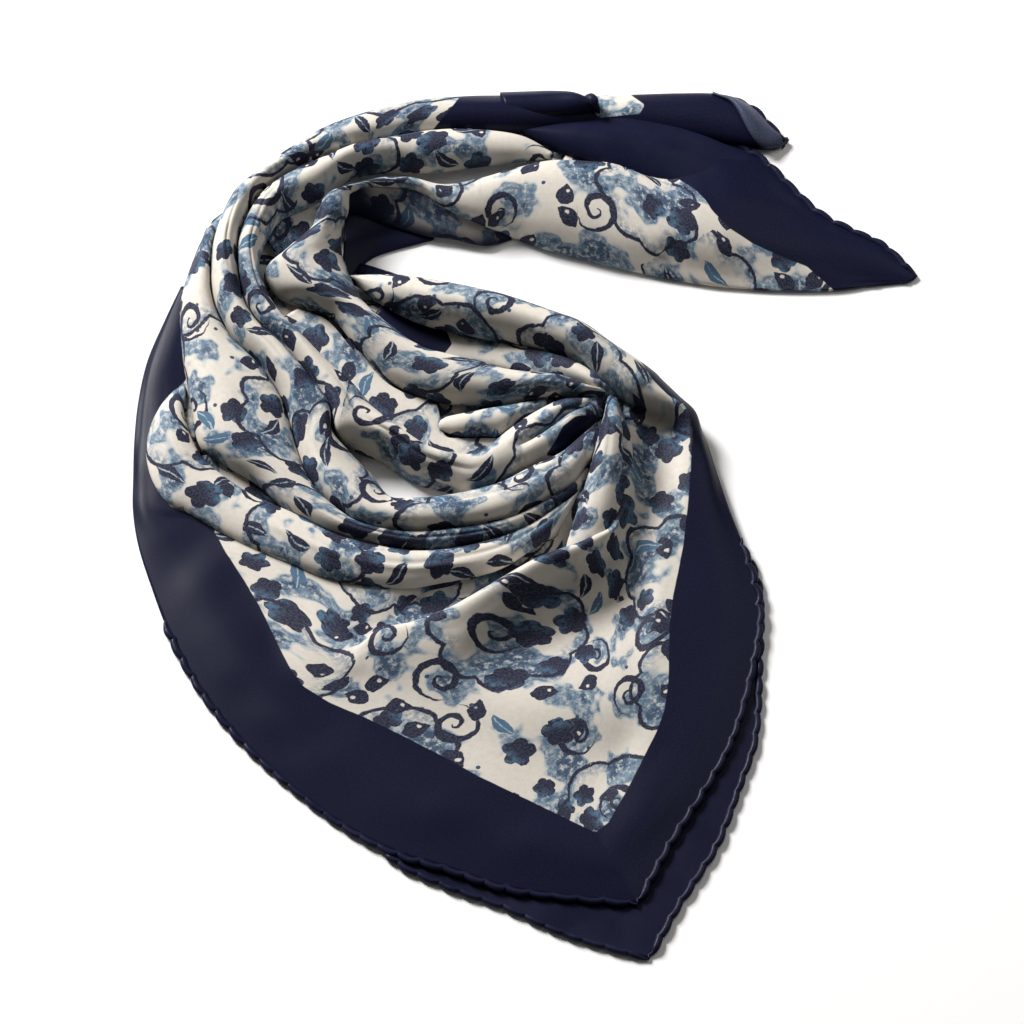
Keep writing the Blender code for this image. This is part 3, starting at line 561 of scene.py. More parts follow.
def makeFloral():
    # navy flowers, leaves, berries and curls with blue washes, on cream
    look = printLook
    tree, given, out = newGroup(
        "floralPrint", [("Vector", "Vector", None), ("Seed", "Float", 0.0)],
        [("Color", "Color"), ("Ink", "Float")])
    add, feed, calc, vector, blend, ramp, noise, group, split = nodeKit(tree)
    shift = add("ShaderNodeCombineXYZ")
    feed(shift.inputs[0], calc("MULTIPLY", given["Seed"], 0.173))
    feed(shift.inputs[1], calc("MULTIPLY", given["Seed"], 0.091))
    plain = vector("ADD", given["Vector"], shift.outputs[0])
    # a hand-drawn wobble of all outlines
    _, wobble = noise(plain, look["wobbleScale"], 2.0)
    wobble = vector("SCALE", vector("SUBTRACT", wobble, (0.5, 0.5, 0.5)), None, look["wobble"])
    _, drift = noise(plain, look["driftScale"], 1.0)
    drift = vector("SCALE", vector("SUBTRACT", drift, (0.5, 0.5, 0.5)), None, look["drift"])
    place = vector("ADD", vector("ADD", plain, wobble), drift)
    grain, _ = noise(plain, look["grainScale"], 2.0, 0.7)
    mottle, _ = noise(plain, look["mottleScale"], 3.0, 0.62)
    cloud, _ = noise(plain, look["cloudScale"], 2.0, 0.5)
    stroke = calc("ADD", calc("MULTIPLY", mottle, 0.75), calc("MULTIPLY", grain, 0.25))

    ground = blend(ramp(mottle, 0.3, 0.75), look["ground"], look["groundShade"])

    # big lobed medallions, outlined in ink and shaded inside the line
    cells = group("scatteredCells", Vector=place, Cell=look["medallionCell"], Jitter=0.75)
    petals = calc("ADD", look["medallionPetals"], calc("ROUND", calc("MULTIPLY", cells["Random B"], 3.0)))
    larger = calc("MULTIPLY", cells["Random C"], look["medallionSpread"])
    size = calc("ADD", look["medallionRadius"], larger)
    big = group("flowerShape", Local=cells["Local"], Radius=size, Petals=petals, Depth=0.16)
    line = ramp(calc("ABSOLUTE", big["Inside"]), 0.0014, 0.0008)
    inside = ramp(big["Inside"], 0.0, 0.0006)
    shade = calc("MULTIPLY", inside, ramp(big["Inside"], 0.011, 0.0005))
    shade = calc("MULTIPLY", shade, ramp(stroke, 0.36, 0.6))
    color = blend(calc("MULTIPLY", shade, look["shadeShare"]), ground, look["midBlue"])

    # watercolour washes
    wash = calc("MULTIPLY", ramp(cloud, 0.515, 0.54), ramp(stroke, 0.26, 0.62))
    pale = calc("MULTIPLY", ramp(cloud, 0.495, 0.52), ramp(stroke, 0.24, 0.55))
    color = blend(calc("MULTIPLY", pale, look["paleShare"]), color, look["paleBlue"])
    color = blend(calc("MULTIPLY", wash, look["washShare"]), color, look["midBlue"])
    deep = calc("MULTIPLY", ramp(cloud, 0.585, 0.63), ramp(stroke, 0.40, 0.52))
    color = blend(calc("MULTIPLY", deep, look["deepShare"]), color, look["inkBlue"])

    # flowers in loose sprays, whole ones only
    cells = group("scatteredCells", Vector=place, Cell=look["flowerCell"], Jitter=0.45)
    spray, _ = noise(cells["Centre"], look["sprayScale"], 1.0, 0.5)
    larger = calc("MULTIPLY", cells["Random B"], look["flowerRadius"] * 0.3)
    radius = calc("ADD", look["flowerRadius"] * 0.76, larger)
    bloom = group("flowerShape", Local=cells["Local"], Radius=radius, Petals=5.0, Depth=0.24)
    kind = cells["Random C"]
    inSpray = calc("GREATER_THAN", spray, look["flowersOver"])
    shown = calc("MULTIPLY", inSpray, calc("LESS_THAN", kind, look["flowerShare"]))
    mask = calc("MULTIPLY", ramp(bloom["Inside"], 0.0, look["soft"]), shown)
    side = ramp(split(cells["Local"])[0], -0.001, 0.0055)
    lightSide = calc("MULTIPLY", side, ramp(stroke, 0.4, 0.56))
    petal = blend(calc("MULTIPLY", lightSide, 0.9), look["navy"], look["midBlue"])
    color = blend(mask, color, petal)
    ink = mask

    # leaves between them, some washed blue
    leaf = group("leafShape", Local=cells["Local"], Length=0.0082, Width=0.0034, Bend=0.0020)
    shown = calc("MULTIPLY", inSpray, calc("GREATER_THAN", kind, look["flowerShare"]))
    mask = calc("MULTIPLY", ramp(leaf["Inside"], 0.0, look["soft"]), shown)
    tint = blend(calc("GREATER_THAN", cells["Random B"], 0.5), look["navy"], look["midBlue"])
    vein = calc("MULTIPLY", ramp(leaf["Vein"], 0.0005, 0.00025), ramp(stroke, 0.4, 0.5))
    color = blend(mask, color, blend(vein, tint, look["paleBlue"]))
    ink = calc("MAXIMUM", ink, mask)

    # berries with a glint, where the flowers thin out
    moved = vector("ADD", place, look["berryMove"])
    cells = group("scatteredCells", Vector=moved, Cell=look["berryCell"], Jitter=0.6)
    spray, _ = noise(vector("SUBTRACT", cells["Centre"], look["berryMove"]), look["sprayScale"], 1.0, 0.5)
    berry = group("leafShape", Local=cells["Local"], Length=0.0066, Width=0.0043, Bend=0.0)
    notFlowers = calc("LESS_THAN", spray, look["flowersOver"])
    thin = calc("MULTIPLY", notFlowers, calc("GREATER_THAN", spray, look["berriesOver"]))
    shown = calc("MULTIPLY", thin, calc("SUBTRACT", 1.0, ink))
    mask = calc("MULTIPLY", ramp(berry["Inside"], 0.0, look["soft"]), shown)
    glint = vector("SUBTRACT", cells["Local"], (0.0016, 0.0010, 0.0))
    glint = ramp(vector("LENGTH", glint), 0.0013, 0.0007)
    color = blend(mask, color, blend(glint, look["navy"], look["ground"]))
    ink = calc("MAXIMUM", ink, mask)

    # curls and dots on the open ground
    moved = vector("ADD", place, look["curlMove"])
    cells = group("scatteredCells", Vector=moved, Cell=look["curlCell"], Jitter=0.5)
    spray, _ = noise(vector("SUBTRACT", cells["Centre"], look["curlMove"]), look["sprayScale"], 1.0, 0.5)
    curl = group("curlShape", Local=cells["Local"], Radius=0.0110, Line=0.0014, Turns=1.6)
    shown = calc("MULTIPLY", calc("LESS_THAN", spray, look["curlsUnder"]), calc("SUBTRACT", 1.0, ink))
    mask = calc("MULTIPLY", ramp(curl["Inside"], 0.0, look["soft"]), shown)
    color = blend(mask, color, look["navy"])
    ink = calc("MAXIMUM", ink, mask)
    cells = group("scatteredCells", Vector=plain, Cell=look["dotCell"], Jitter=0.9)
    spray, _ = noise(cells["Centre"], look["sprayScale"], 1.0, 0.5)
    dot = ramp(vector("LENGTH", cells["Local"]), 0.0012, 0.0009)
    few = calc("LESS_THAN", cells["Random C"], look["dotShare"])
    shown = calc("MULTIPLY", few, calc("LESS_THAN", spray, look["dotsUnder"]))
    color = blend(calc("MULTIPLY", dot, shown), color, look["inkBlue"])

    # medallion hearts stay open ground, and their line lies over all
    line = calc("MULTIPLY", line, ramp(mottle, 0.25, 0.34))
    color = blend(line, color, look["navy"])
    ink = calc("MAXIMUM", ink, line)
    feed(out["Color"], color)
    feed(out["Ink"], ink)


silkLook = {
    "roughness": 0.58, "navyRoughness": 0.37, "specular": 0.08,
    "sheen": 0.004, "sheenTint": (0.55, 0.65, 1.0, 1), "sheenRoughness": 0.35,
    "bump": 0.5, "bumpDistance": 0.00012,
    "threadGlow": (0.75, 0.75, 0.8, 1), "thread": 0.0008,
    # the reverse colour is the silk's paler wrong side, lifted further as painted light because the
    # turned-back strip faces away from the lamp
    "hemColour": (0.0060, 0.0070, 0.0205, 1), "reverseAndPaintedLightColour": (0.040, 0.047, 0.078, 1),
}


def newMaterial(name):
    material = bpy.data.materials.new(name)
    material.use_nodes = True
    tree = material.node_tree
    shader = tree.nodes["Principled BSDF"]
    shader.inputs["Sheen Weight"].default_value = silkLook["sheen"]
    shader.inputs["Sheen Tint"].default_value = silkLook["sheenTint"]
    shader.inputs["Sheen Roughness"].default_value = silkLook["sheenRoughness"]
    shader.inputs["Specular IOR Level"].default_value = silkLook["specular"]
    return material, tree, shader


def addGrain(tree, shader, place, thread=silkLook["thread"], strength=1.0):
    add, feed, calc, vector, blend, ramp, noise, group, split = nodeKit(tree)
    grain = group("crepeWeave", Vector=place, Thread=thread)
    bump = add("ShaderNodeBump")
    bump.inputs["Strength"].default_value = silkLook["bump"] * strength
    bump.inputs["Distance"].default_value = silkLook["bumpDistance"]
    feed(bump.inputs["Height"], grain["Height"])
    feed(shader.inputs["Normal"], bump.outputs[0])
    return grain["Tone"]


def makePrintedSilk(seed=0.0, name="printedSilk", deep=0.0, soft=0.25):
    material, tree, shader = newMaterial(name)
    add, feed, calc, vector, blend, ramp, noise, group, split = nodeKit(tree)
    place = add("ShaderNodeUVMap", uv_map="print").outputs[0]
    edge = add("ShaderNodeAttribute", attribute_name="border").outputs["Fac"]
    tone = addGrain(tree, shader, place)
    floral = group("floralPrint", Vector=place, Seed=seed)
    rough, _ = noise(place, 120.0, 2.0)
    edgeLine = calc("ADD", edge, calc("MULTIPLY", calc("SUBTRACT", rough, 0.5), 0.5))
    printed = ramp(edgeLine, -soft, soft)
    navy = blend(calc("MULTIPLY", ramp(tone, 0.4, 0.7), 0.4), printLook["border"], printLook["borderThread"])
    color = blend(printed, navy, floral["Color"])
    pale = blend(0.10, color, silkLook["threadGlow"])
    toned = blend(calc("MULTIPLY", ramp(tone, 0.35, 0.65), calc("MULTIPLY", printed, 0.4)), color, pale)
    # deep blends the colour toward the border navy: painted shade for cloth that lies in shade
    feed(shader.inputs["Base Color"], blend(deep, toned, printLook["border"]))
    roughness = ramp(printed, 0.0, 1.0, silkLook["navyRoughness"], silkLook["roughness"])
    feed(shader.inputs["Roughness"], roughness)
    return material


def makeBorderSilk(name="borderSilk", color=None, thread=silkLook["thread"], strength=1.0):
    material, tree, shader = newMaterial(name)
    add, feed, calc, vector, blend, ramp, noise, group, split = nodeKit(tree)
    place = add("ShaderNodeTexCoord").outputs["Object"]
    tone = addGrain(tree, shader, place, thread, strength)
    base = color or printLook["border"]
    cloud, _ = noise(place, 30.0, 3.0)
    lighter = tuple(min(1, v * 1.6 + 0.004) for v in base[:3]) + (1,)
    mixed = blend(calc("MULTIPLY", ramp(cloud, 0.3, 0.7), 0.35), base, lighter)
    feed(shader.inputs["Base Color"], blend(calc("MULTIPLY", ramp(tone, 0.35, 0.7), 0.25), mixed, lighter))
    feed(shader.inputs["Roughness"], ramp(cloud, 0.3, 0.7, silkLook["navyRoughness"] - 0.05,
                                          silkLook["navyRoughness"] + 0.08))
    return material


makeScatter()
makeFlower()
makeLeaf()
makeCurl()
makeWeave()
makeFloral()
printedSilk = makePrintedSilk()
borderSilk = makeBorderSilk()
hemSilk = makeBorderSilk("hemSilk", silkLook["hemColour"], silkLook["thread"], 1.2)
# the reverse side's own paler colour, partly painted light
reverseAndPaintedLightSilk = makeBorderSilk("reverseAndPaintedLightSilk", silkLook["reverseAndPaintedLightColour"], 0.0012, 3.0)
hiddenSilk = makePrintedSilk(3.0, "hiddenSilk")
# painted shade: the print mixed toward navy, with a wide soft navy edge, for the inside of the arch
paintedShadeSilk = makePrintedSilk(1.0, "paintedShadeSilk", 0.6, 5.0)
print("materials ready")


def finishPiece(piece, look, material, slot):
    piece.data.materials.clear()
    piece.data.materials.append(material)
    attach(piece, "root")
    if look.get("stands"):
        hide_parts(*look["stands"])


# readings are steps right and down on the drawing, two to a millimetre; heights are in mm
reading = {"middleRight": 526, "middleDown": 524, "stepsPerMm": 2.0, "decimals": 1}


def read(points):
    # readings (right, down, height) made into (across, up, height) in mm
    made = []
    for point in points:
        across = (point[0] - reading["middleRight"]) / reading["stepsPerMm"]
        up = (reading["middleDown"] - point[1]) / reading["stepsPerMm"]
        made.append(tuple(round(float(value), reading["decimals"]) for value in (across, up, *point[2:])))
    return made


# the front corner's rows of cloth, from the outer edge inwards; None is a knot midway
panelReadings = [
    [(180, 286, 1.6), (182, 286, 2), (184, 286, 2.3), (186, 286, 2.5), (188, 286, 2.6), (190, 286, 2.7),
     (192, 286, 2.7), (194, 286, 2.7), (196, 286, 2.7), (198, 286, 2.6), (201, 286, 2.4)],
    [(164, 320, 1.8), (168, 320, 3), (172, 320, 3.6), (175, 320, 3.9), (178, 320, 4.1), (181, 320, 4.2),
     (184, 320, 4.2), (187, 320, 4.2), (190, 320, 4.2), (193, 320, 4.1), (197, 320, 3.6)],
    [(147, 360, 1.8), (152, 360, 3.8), (157, 359, 4.6), (162, 359, 5.1), (167, 359, 5.4), (171, 359, 5.5),
     (175, 359, 5.5), (179, 359, 5.5), (183, 359, 5.5), (188, 359, 5.3), (193, 359, 4.6)],
    [(138, 400, 1.8), (144, 399, 4), (150, 398, 5), (157, 397, 5.7), (163, 396, 6), (168, 396, 6.2),
     (173, 396, 6.3), (178, 396, 6.3), (183, 396, 6.3), (189, 396, 6.2), (195, 396, 5.2)],
    [(134, 440, 1.8), (141, 438, 4.1), (148, 437, 5.1), (156, 435, 6), (163, 434, 6.4), (169, 433, 6.6),
     (174, 432, 6.7), (179, 431, 6.7), (184, 430, 6.7), (190, 429, 6.6), (196, 428, 5.6)],
    [(133, 478, 2), (141, 476, 4), (148, 474, 5), (156, 471, 6), (163, 468, 6.5), (169, 466, 7),
     (174, 464, 7), (179, 462, 7), (184, 460, 7), (190, 458, 7), (196, 456, 6)],
    [(133, 512, 1.6), (142, 510, 4.3), (152, 508, 5.3), (160, 507, 6), (167, 505, 6.5), (173, 503, 7),
     (178, 501, 7), (184, 500, 7), (190, 499, 7), (196, 498, 7), (204, 494, 6)],
    [(139, 548, 1.6), (158, 535, 5), (178, 521, 6.1), (186, 519, 6.5), (193, 517, 7), (199, 515, 7.3),
     (205, 513, 7.5), (210, 512, 7.5), (215, 511, 7.5), (220, 510, 7.5), (226, 506, 6)],
    [(152, 588, 1.6), (178, 561, 5.6), (205, 530, 7), (213, 528, 7.5), (220, 527, 8), (227, 526, 8),
     (233, 526, 8), (239, 526, 8), (245, 526, 8), (250, 526, 8), (257, 522, 7)],
    [(168, 630, 1.6), None, (226, 552, 8), (236, 548, 8.5), (245, 545, 8.7), (253, 542, 8.7),
     (260, 541, 8.7), (266, 540, 8.7), (272, 539, 8.5), (279, 538, 8.3), (285, 534, 7)],
    [(190, 673, 1.6), None, (246, 583, 8), (258, 577, 9), (269, 571, 9), (279, 566, 9), (287, 562, 9),
     (294, 559, 9), (300, 557, 8.8), (307, 555, 8.5), (313, 549, 7.5)],
    [(218, 714, 1.6), None, (263, 613, 8), (278, 606, 9.3), (291, 600, 9.5), (302, 595, 9.3),
     (311, 591, 9.2), (319, 587, 9), (326, 582, 8.8), (333, 568, 8.5), (338, 560, 7.5)],
    [(253, 752, 1.6), None, (279, 645, 8), (296, 642, 10), (310, 640, 11), (321, 640, 11.5),
     (329, 636, 11.3), (337, 627, 10.8), (345, 612, 9.3), (352, 575, 8.5), (356, 566, 7.5)],
    [(296, 790, 1.6), None, (303, 685, 8), (322, 680, 9.5), (336, 672, 11), (345, 664, 13),
     (350, 656, 14), (354, 646, 14), (359, 640, 9.3), (374, 580, 9), (377, 571, 8)],
    [(346, 827, 2), None, (347, 709, 8), (357, 698, 9), (364, 681, 11), (371, 662, 14.5), (377, 643, 17.5),
     (380, 629, 18), (384, 628, 7.5), (398, 580, 9.5), (400, 571, 8)],
    [(397, 853, 3), None, (392, 730, 8), (397, 712, 9), (401, 690, 11), (406, 665, 15), (410, 640, 19.5),
     (412, 623, 20.5), (414, 620, 7.5), (425, 577, 10), (426, 568, 9)],
    [(450, 869, 4), None, (442, 755, 8), (444, 730, 9), (447, 702, 11), (449, 668, 15), (451, 632, 20.5),
     (452, 608, 22), (453, 604, 8), (453, 571, 10), (453, 562, 9)],
    [(505, 887, 4), None, (494, 782, 8), (496, 747, 8.5), (497, 707, 11), (499, 640, 11),
     (499, 604, 21.5), (497, 583, 24.5), (494, 580, 8), (485, 562, 10.5), (482, 553, 10)],
    [(566, 896, 4), None, (548, 808, 7.5), (548, 757, 7.5), (549, 706, 11), (556, 606, 7.3),
     (549, 577, 21), (540, 559, 25.5), (534, 557, 8.5), (515, 547, 11), (510, 540, 10.5)],
    [(637, 902, 4), None, (596, 830, 7), (596, 757, 6.5), (594, 706, 11), (592, 590, 6.3),
     (584, 566, 19.5), (576, 546, 25.5), (569, 545, 10), (540, 530, 12), (535, 523, 11)],
    [(671, 840, 4), None, (624, 794, 7.5), (622, 747, 6.5), (618, 700, 10.8), (611, 574, 6.3),
     (603, 553, 18.5), (599, 536, 24.5), (592, 534, 11.5), (560, 510, 12), (555, 503, 11)],
    [(704, 789, 4), (675, 776, 7.4), (652, 754, 8), (643, 727, 8.3), (638, 690, 10.2), (628, 559, 6.6),
     (613, 545, 16), (614, 527, 21), (608, 525, 18), (580, 492, 17), (575, 486, 14)],
    [(733, 735, 4), (703, 729, 7.5), (677, 713, 8.4), (661, 689, 9.2), (652, 658, 9.8), (638, 552, 7.5),
     (625, 532, 11.5), (623, 512, 18.5), (617, 508, 19), (598, 480, 18), (592, 474, 15)],
    [(752, 668, 4), (719, 668, 7.8), (690, 660, 8.6), (670, 640, 9.2), (659, 612, 9.4), (644, 548, 7.8),
     (632, 530, 9), (627, 508, 17), (621, 500, 19.5), (608, 472, 18.5), (601, 468, 15)],
    [(760, 608, 4), (726, 609, 8), (695, 604, 8.9), (674, 590, 9.3), (662, 570, 9.4), (649, 533, 7.2),
     (639, 515, 7.8), (632, 496, 15), (626, 488, 19.5), (614, 462, 18.5), (607, 458, 15)],
    [(745, 551, 4.5), (715, 547, 9.5), (683, 548, 10), (675, 540, 10), (667, 526, 9.5), (655, 505, 7),
     (646, 492, 7), (637, 480, 12.5), (631, 474, 19), (620, 452, 19), (613, 449, 15)],
    [(729, 508, 5), (710, 502, 10.5), (688, 503, 11.5), (681, 496, 11), (672, 486, 9.5), (660, 474, 6.8),
     (650, 466, 6.6), (641, 461, 10), (634, 457, 17.5), (624, 440, 19), (617, 438, 15)],
    [(717, 472, 5), (706, 464, 11), (691, 466, 13), (685, 460, 12.5), (676, 454, 10), (664, 449, 6.6),
     (653, 446, 6.2), (643, 444, 8.5), (636, 441, 15.5), (624, 428, 18.5), (617, 427, 15)],
    [(707, 442, 5), (701, 433, 12.5), (693, 436, 15.5), (688, 430, 15.5), (679, 430, 11.5),
     (667, 431, 7.2), (655, 431, 6.4), (644, 430, 7.5), (636, 428, 13.5), (625, 418, 17.5), (618, 416, 15)],
    [(697, 421, 5), (696, 412, 13), (690, 415, 18), (684, 411, 20), (676, 413, 17), (668, 418, 9.8),
     (658, 419, 7.2), (647, 419, 7.8), (638, 418, 12), (627, 411, 16), (620, 409, 14.5)],
    [(682, 406, 4.5), (681, 397, 14), (676, 398, 21), (668, 397, 23), (660, 402, 21), (653, 409, 15.5),
     (648, 412, 11.5), (642, 411, 11), (636, 410, 11), (628, 405, 14.5), (621, 404, 13.5)],
    [(665, 393, 4), (664, 381, 16), (657, 384, 24), (649, 386, 26), (641, 394, 24), (635, 402, 19),
     (632, 405, 15), (628, 404, 13.5), (624, 403, 13), (620, 400, 13), (615, 399, 12)],
    [(649, 380, 3), (648, 367, 17), (641, 370, 27), (633, 376, 29), (625, 385, 26), (620, 393, 21),
     (617, 396, 18), (614, 395, 16), (611, 394, 15), (608, 393, 14), (604, 392, 13)],
]
panelShape = {
    # how far up a knot midway is moved, and how much higher
    "midwayUp": 1.0,
    "midwayRise": 2.0,
    # where the cloth drops behind the ridge, and the ridge's knot that stands higher
    "dropRows": range(15, 20),
    "dropKnots": range(8, 11),
    "drop": 3,
    "leastHeight": 5,
    "ridgeRows": range(16, 20),
    "ridgeKnot": 7,
    "ridgeRise": 1.5,
}


def readPanel(rows, look):
    net = []
    for number, row in enumerate(rows):
        knots = [knot and read([knot])[0] for knot in row]
        for place, knot in enumerate(knots):
            if knot is None:
                across, up, height = [(a + b) / 2 for a, b in zip(knots[place - 1], knots[place + 1])]
                lifted = (across, up + look["midwayUp"], height + look["midwayRise"])
                knot = tuple(round(value, reading["decimals"]) for value in lifted)
            across, up, height = knot
            if number in look["dropRows"] and place in look["dropKnots"]:
                height = max(look["leastHeight"], height - look["drop"])
            if number in look["ridgeRows"] and place == look["ridgeKnot"]:
                height += look["ridgeRise"]
            knots[place] = (across, up, height)
        net.append(knots)
    return net


panelNet = readPanel(panelReadings, panelShape)
tailNet = [read(row) for row in [
    [(675, 163, 7), (671, 170, 7.5), (667, 177, 7.8), (664, 181, 10), (662, 188, 15.5), (660, 203, 18.5),
     (657, 222, 18), (655, 242, 14.5), (653, 260, 8.5), (651, 274, 1.8)],
    [(694, 148, 5.5), (689, 158, 7.5), (685, 172, 9), (683, 186, 11.5), (681, 198, 16), (680, 210, 18.3),
     (677, 228, 17.4), (675, 242, 14), (673, 262, 8), (670, 278, 1.8)],
    [(716, 134, 1.8), (710, 150, 7.4), (705, 170, 10), (702, 188, 13), (700, 203, 16.5), (698, 219, 18),
     (696, 234, 16.5), (693, 250, 13), (691, 266, 7.5), (689, 281, 1.8)],
    [(740, 144, 1.8), (734, 164, 8.5), (729, 184, 12.3), (726, 203, 14.6), (724, 218, 15.8),
     (722, 232, 15.5), (720, 246, 13.7), (718, 260, 10.5), (716, 273, 6.2), (715, 285, 1.8)],
    [(765, 159, 1.8), (759, 179, 8), (754, 198, 11), (750, 215, 12.5), (747, 228, 13), (745, 242, 12),
     (744, 255, 10), (743, 267, 7.5), (742, 278, 4.5), (741, 287.5, 1.8)],
    [(793, 187, 1.8), (787, 203, 7), (782, 218, 9), (778, 231, 10), (775, 242, 10), (773, 252, 9),
     (771, 262, 7.5), (770, 272, 5.5), (769, 281, 3.5), (768, 289.5, 1.8)],
    [(823, 214, 1.8), (817, 224, 5.5), (812, 235, 7), (808, 245, 7.5), (806, 253, 7.3), (804, 261, 6.5),
     (803, 269, 5.5), (802, 276, 4.3), (801, 284, 3), (800, 290.5, 1.8)],
    [(856, 231, 1.8), (851, 239, 4.5), (846, 247, 5.5), (843, 254, 5.7), (841, 260, 5.5), (840, 266, 5),
     (839, 272, 4.3), (838, 278, 3.5), (837, 284, 2.6), (836, 289, 1.8)],
    [(886, 246, 1.8), (882, 252, 3.5), (880, 258, 4), (878, 263, 4), (877, 267, 3.8), (876, 271, 3.5),
     (875, 275, 3.1), (874, 279, 2.7), (873, 282, 2.2), (873, 285, 1.8)],
    [(918, 276, 1.6), (917, 277, 1.8), (916, 278, 1.9), (915, 278.5, 1.9), (914, 279, 1.9),
     (914, 279.5, 1.8), (913, 280, 1.8), (912, 280.5, 1.7), (911, 281, 1.6), (910, 281.5, 1.5)],
]]
panelPrintEdge = read([
    (186, 380), (166, 398), (151, 426), (147, 455), (154, 482), (170, 506), (191, 514), (212, 527),
    (226, 552), (245, 581), (261, 608), (274, 635), (290, 667), (304, 686), (330, 702), (368, 718),
    (395, 731), (448, 758), (476, 774), (595, 831), (608, 821), (625, 792), (641, 761), (656, 731),
    (664, 710), (668, 683), (669, 627), (673, 596), (683, 546), (688, 504), (691, 463), (693, 430),
    (689, 413), (683, 403), (668, 395), (653, 380), (620, 330), (500, 160), (330, 40), (120, 120),
    (186, 290)])
tailPrintEdge = read([
    (706, 199), (713, 210), (730, 227), (752, 242), (780, 255), (808, 266), (834, 289), (838, 310),
    (760, 420), (500, 520), (180, 520), (180, 100), (560, 100), (640, 140), (676, 176), (695, 188)])
rollPrintEdge = read([(470, 60), (463, 91), (428, 134), (440, 180), (800, 700), (0, 700), (0, 0)])


def insideEdge(points, edge):
    # mm inside a closed line drawn on the plane, less than 0 outside
    place = onDrawing(points)
    line = np.array(edge, float)
    far = np.full(place.shape[:-1], 1e9)
    inside = np.zeros(place.shape[:-1], bool)
    for a, b in zip(line, np.roll(line, -1, axis=0)):
        span = b - a
        t = np.clip(((place - a) @ span) / max(float(span @ span), 1e-9), 0, 1)
        far = np.minimum(far, np.linalg.norm(place - a - t[..., None] * span, axis=-1))
        crosses = (a[1] > place[..., 1]) != (b[1] > place[..., 1])
        level = (place[..., 1] - a[1]) / (span[1] if span[1] else 1e-9)
        inside ^= crosses & (place[..., 0] < a[0] + level * span[0])
    return np.where(inside, far, -far)


def curveThrough(knots, counts):
    # a smooth curve through each row of knots, with so many columns between neighbours
    gaps = np.maximum(np.linalg.norm(np.diff(knots, axis=1), axis=2), 1e-5)[..., None] ** 0.6
    slope = np.diff(knots, axis=1) / gaps
    inner = (slope[:, :-1] * gaps[:, 1:] + slope[:, 1:] * gaps[:, :-1]) / (gaps[:, :-1] + gaps[:, 1:])
    tangent = np.concatenate([slope[:, :1], inner, slope[:, -1:]], 1)
    parts = []
    for k, count in enumerate(counts):
        t = (np.arange(count) / count)[None, :, None]
        d = gaps[:, k:k + 1]
        here, there = slice(k, k + 1), slice(k + 1, k + 2)
        start = (2 * t ** 3 - 3 * t ** 2 + 1) * knots[:, here]
        start = start + (t ** 3 - 2 * t ** 2 + t) * d * tangent[:, here]
        end = (3 * t ** 2 - 2 * t ** 3) * knots[:, there] + (t ** 3 - t ** 2) * d * tangent[:, there]
        parts.append(start + end)
    return np.concatenate(parts + [knots[:, -1:]], 1)


def archKnots(far, near, crest, shares, farTuck=0, nearTuck=0):
    # knots over an arched roll, with knots tucked under its edges, in world metres
    start, end = lay(far), lay(near)
    inward = (end - start) * [1, 1, 0]
    inward /= np.maximum(np.linalg.norm(inward, axis=1, keepdims=True), 1e-9)
    rise = np.maximum(np.array(crest) * mm - (start[:, 2] + end[:, 2]) / 2, cloth["leastRise"] * mm)
    columns = []
    # how far in and how far down each tucked knot lies, in mm
    tucks = ((1.0, 2.2), (4, 3.2), (8, 3.6))
    for reach, drop in reversed(tucks[:farTuck]):
        columns.append(start + inward * reach * mm - np.array([0, 0, drop * mm]))
    for s in shares:
        move = (1 - math.cos(math.pi * s)) / 2
        spot = start * (1 - move) + end * move
        spot[:, 2] += rise * math.sin(math.pi * s) ** cloth["fullness"]
        columns.append(spot)
    for reach, drop in tucks[:nearTuck]:
        columns.append(end - inward * reach * mm - np.array([0, 0, drop * mm]))
    knots = np.stack(columns, 1)
    knots[..., 2] = np.maximum(knots[..., 2], cloth["floor"])
    return knots


def netGrid(knots, counts, step, cornerRow=None, cornerColumns=0):
    # spline the rows, then the columns; the first columns may turn a sharp corner at one row
    rails = [onDrawing(knots[:, k]) for k in (0, knots.shape[1] // 2, knots.shape[1] - 2)]
    at = stationsFor(rails, step)
    lines = []
    for k in range(knots.shape[1]):
        if k < cornerColumns:
            first, second = at[at <= cornerRow], at[at > cornerRow]
            lines.append(np.vstack([smoothRows(knots[:cornerRow + 1, k], first),
                                    smoothRows(knots[cornerRow:, k], second - cornerRow)]))
        else:
            lines.append(smoothRows(knots[:, k], at))
    grid = curveThrough(np.stack(lines, 1), counts)
    grid[..., 2] = np.maximum(grid[..., 2], cloth["floor"])
    return grid, at


def waveGrid(grid, look, calm):
    # soft long waves along the surface normal, none where calm is 0
    normal = gridNormals(grid)
    place = onDrawing(grid)
    turn = look.get("waveTurn", 0.45)
    u = place[..., 0] * math.cos(turn) + place[..., 1] * math.sin(turn)
    v = place[..., 1] * math.cos(turn) - place[..., 0] * math.sin(turn)
    push = np.zeros(grid.shape[:2])
    for long, short, height in look["ripples"]:
        push += softNoise(u / long, v / short, look.get("seed", 3) + long) * height
    grid = grid + normal * (push * calm)[..., None] * mm
    grid[..., 2] = np.maximum(grid[..., 2], cloth["floor"])
    return grid


# front panel and the long fold behind it
frontPanel = {
    "stands": ["front_panel", "ridge_fold", "wing_roll"],
    "fanRows": (18, 23), "rollRows": (28, 33),
    "rowStep": 2.1 * mm,
    "counts": [10, 12, 10, 12, 13, 8, 9, 6, 6, 2],
    "cornerRow": 19,
    "shares": [0, 0.14, 0.28, 0.45, 0.62, 0.78, 0.9, 1],
    "ripples": [(80, 26, 0.7), (34, 16, 0.3)],
    "calmColumns": 8, "printTurn": 38,
}


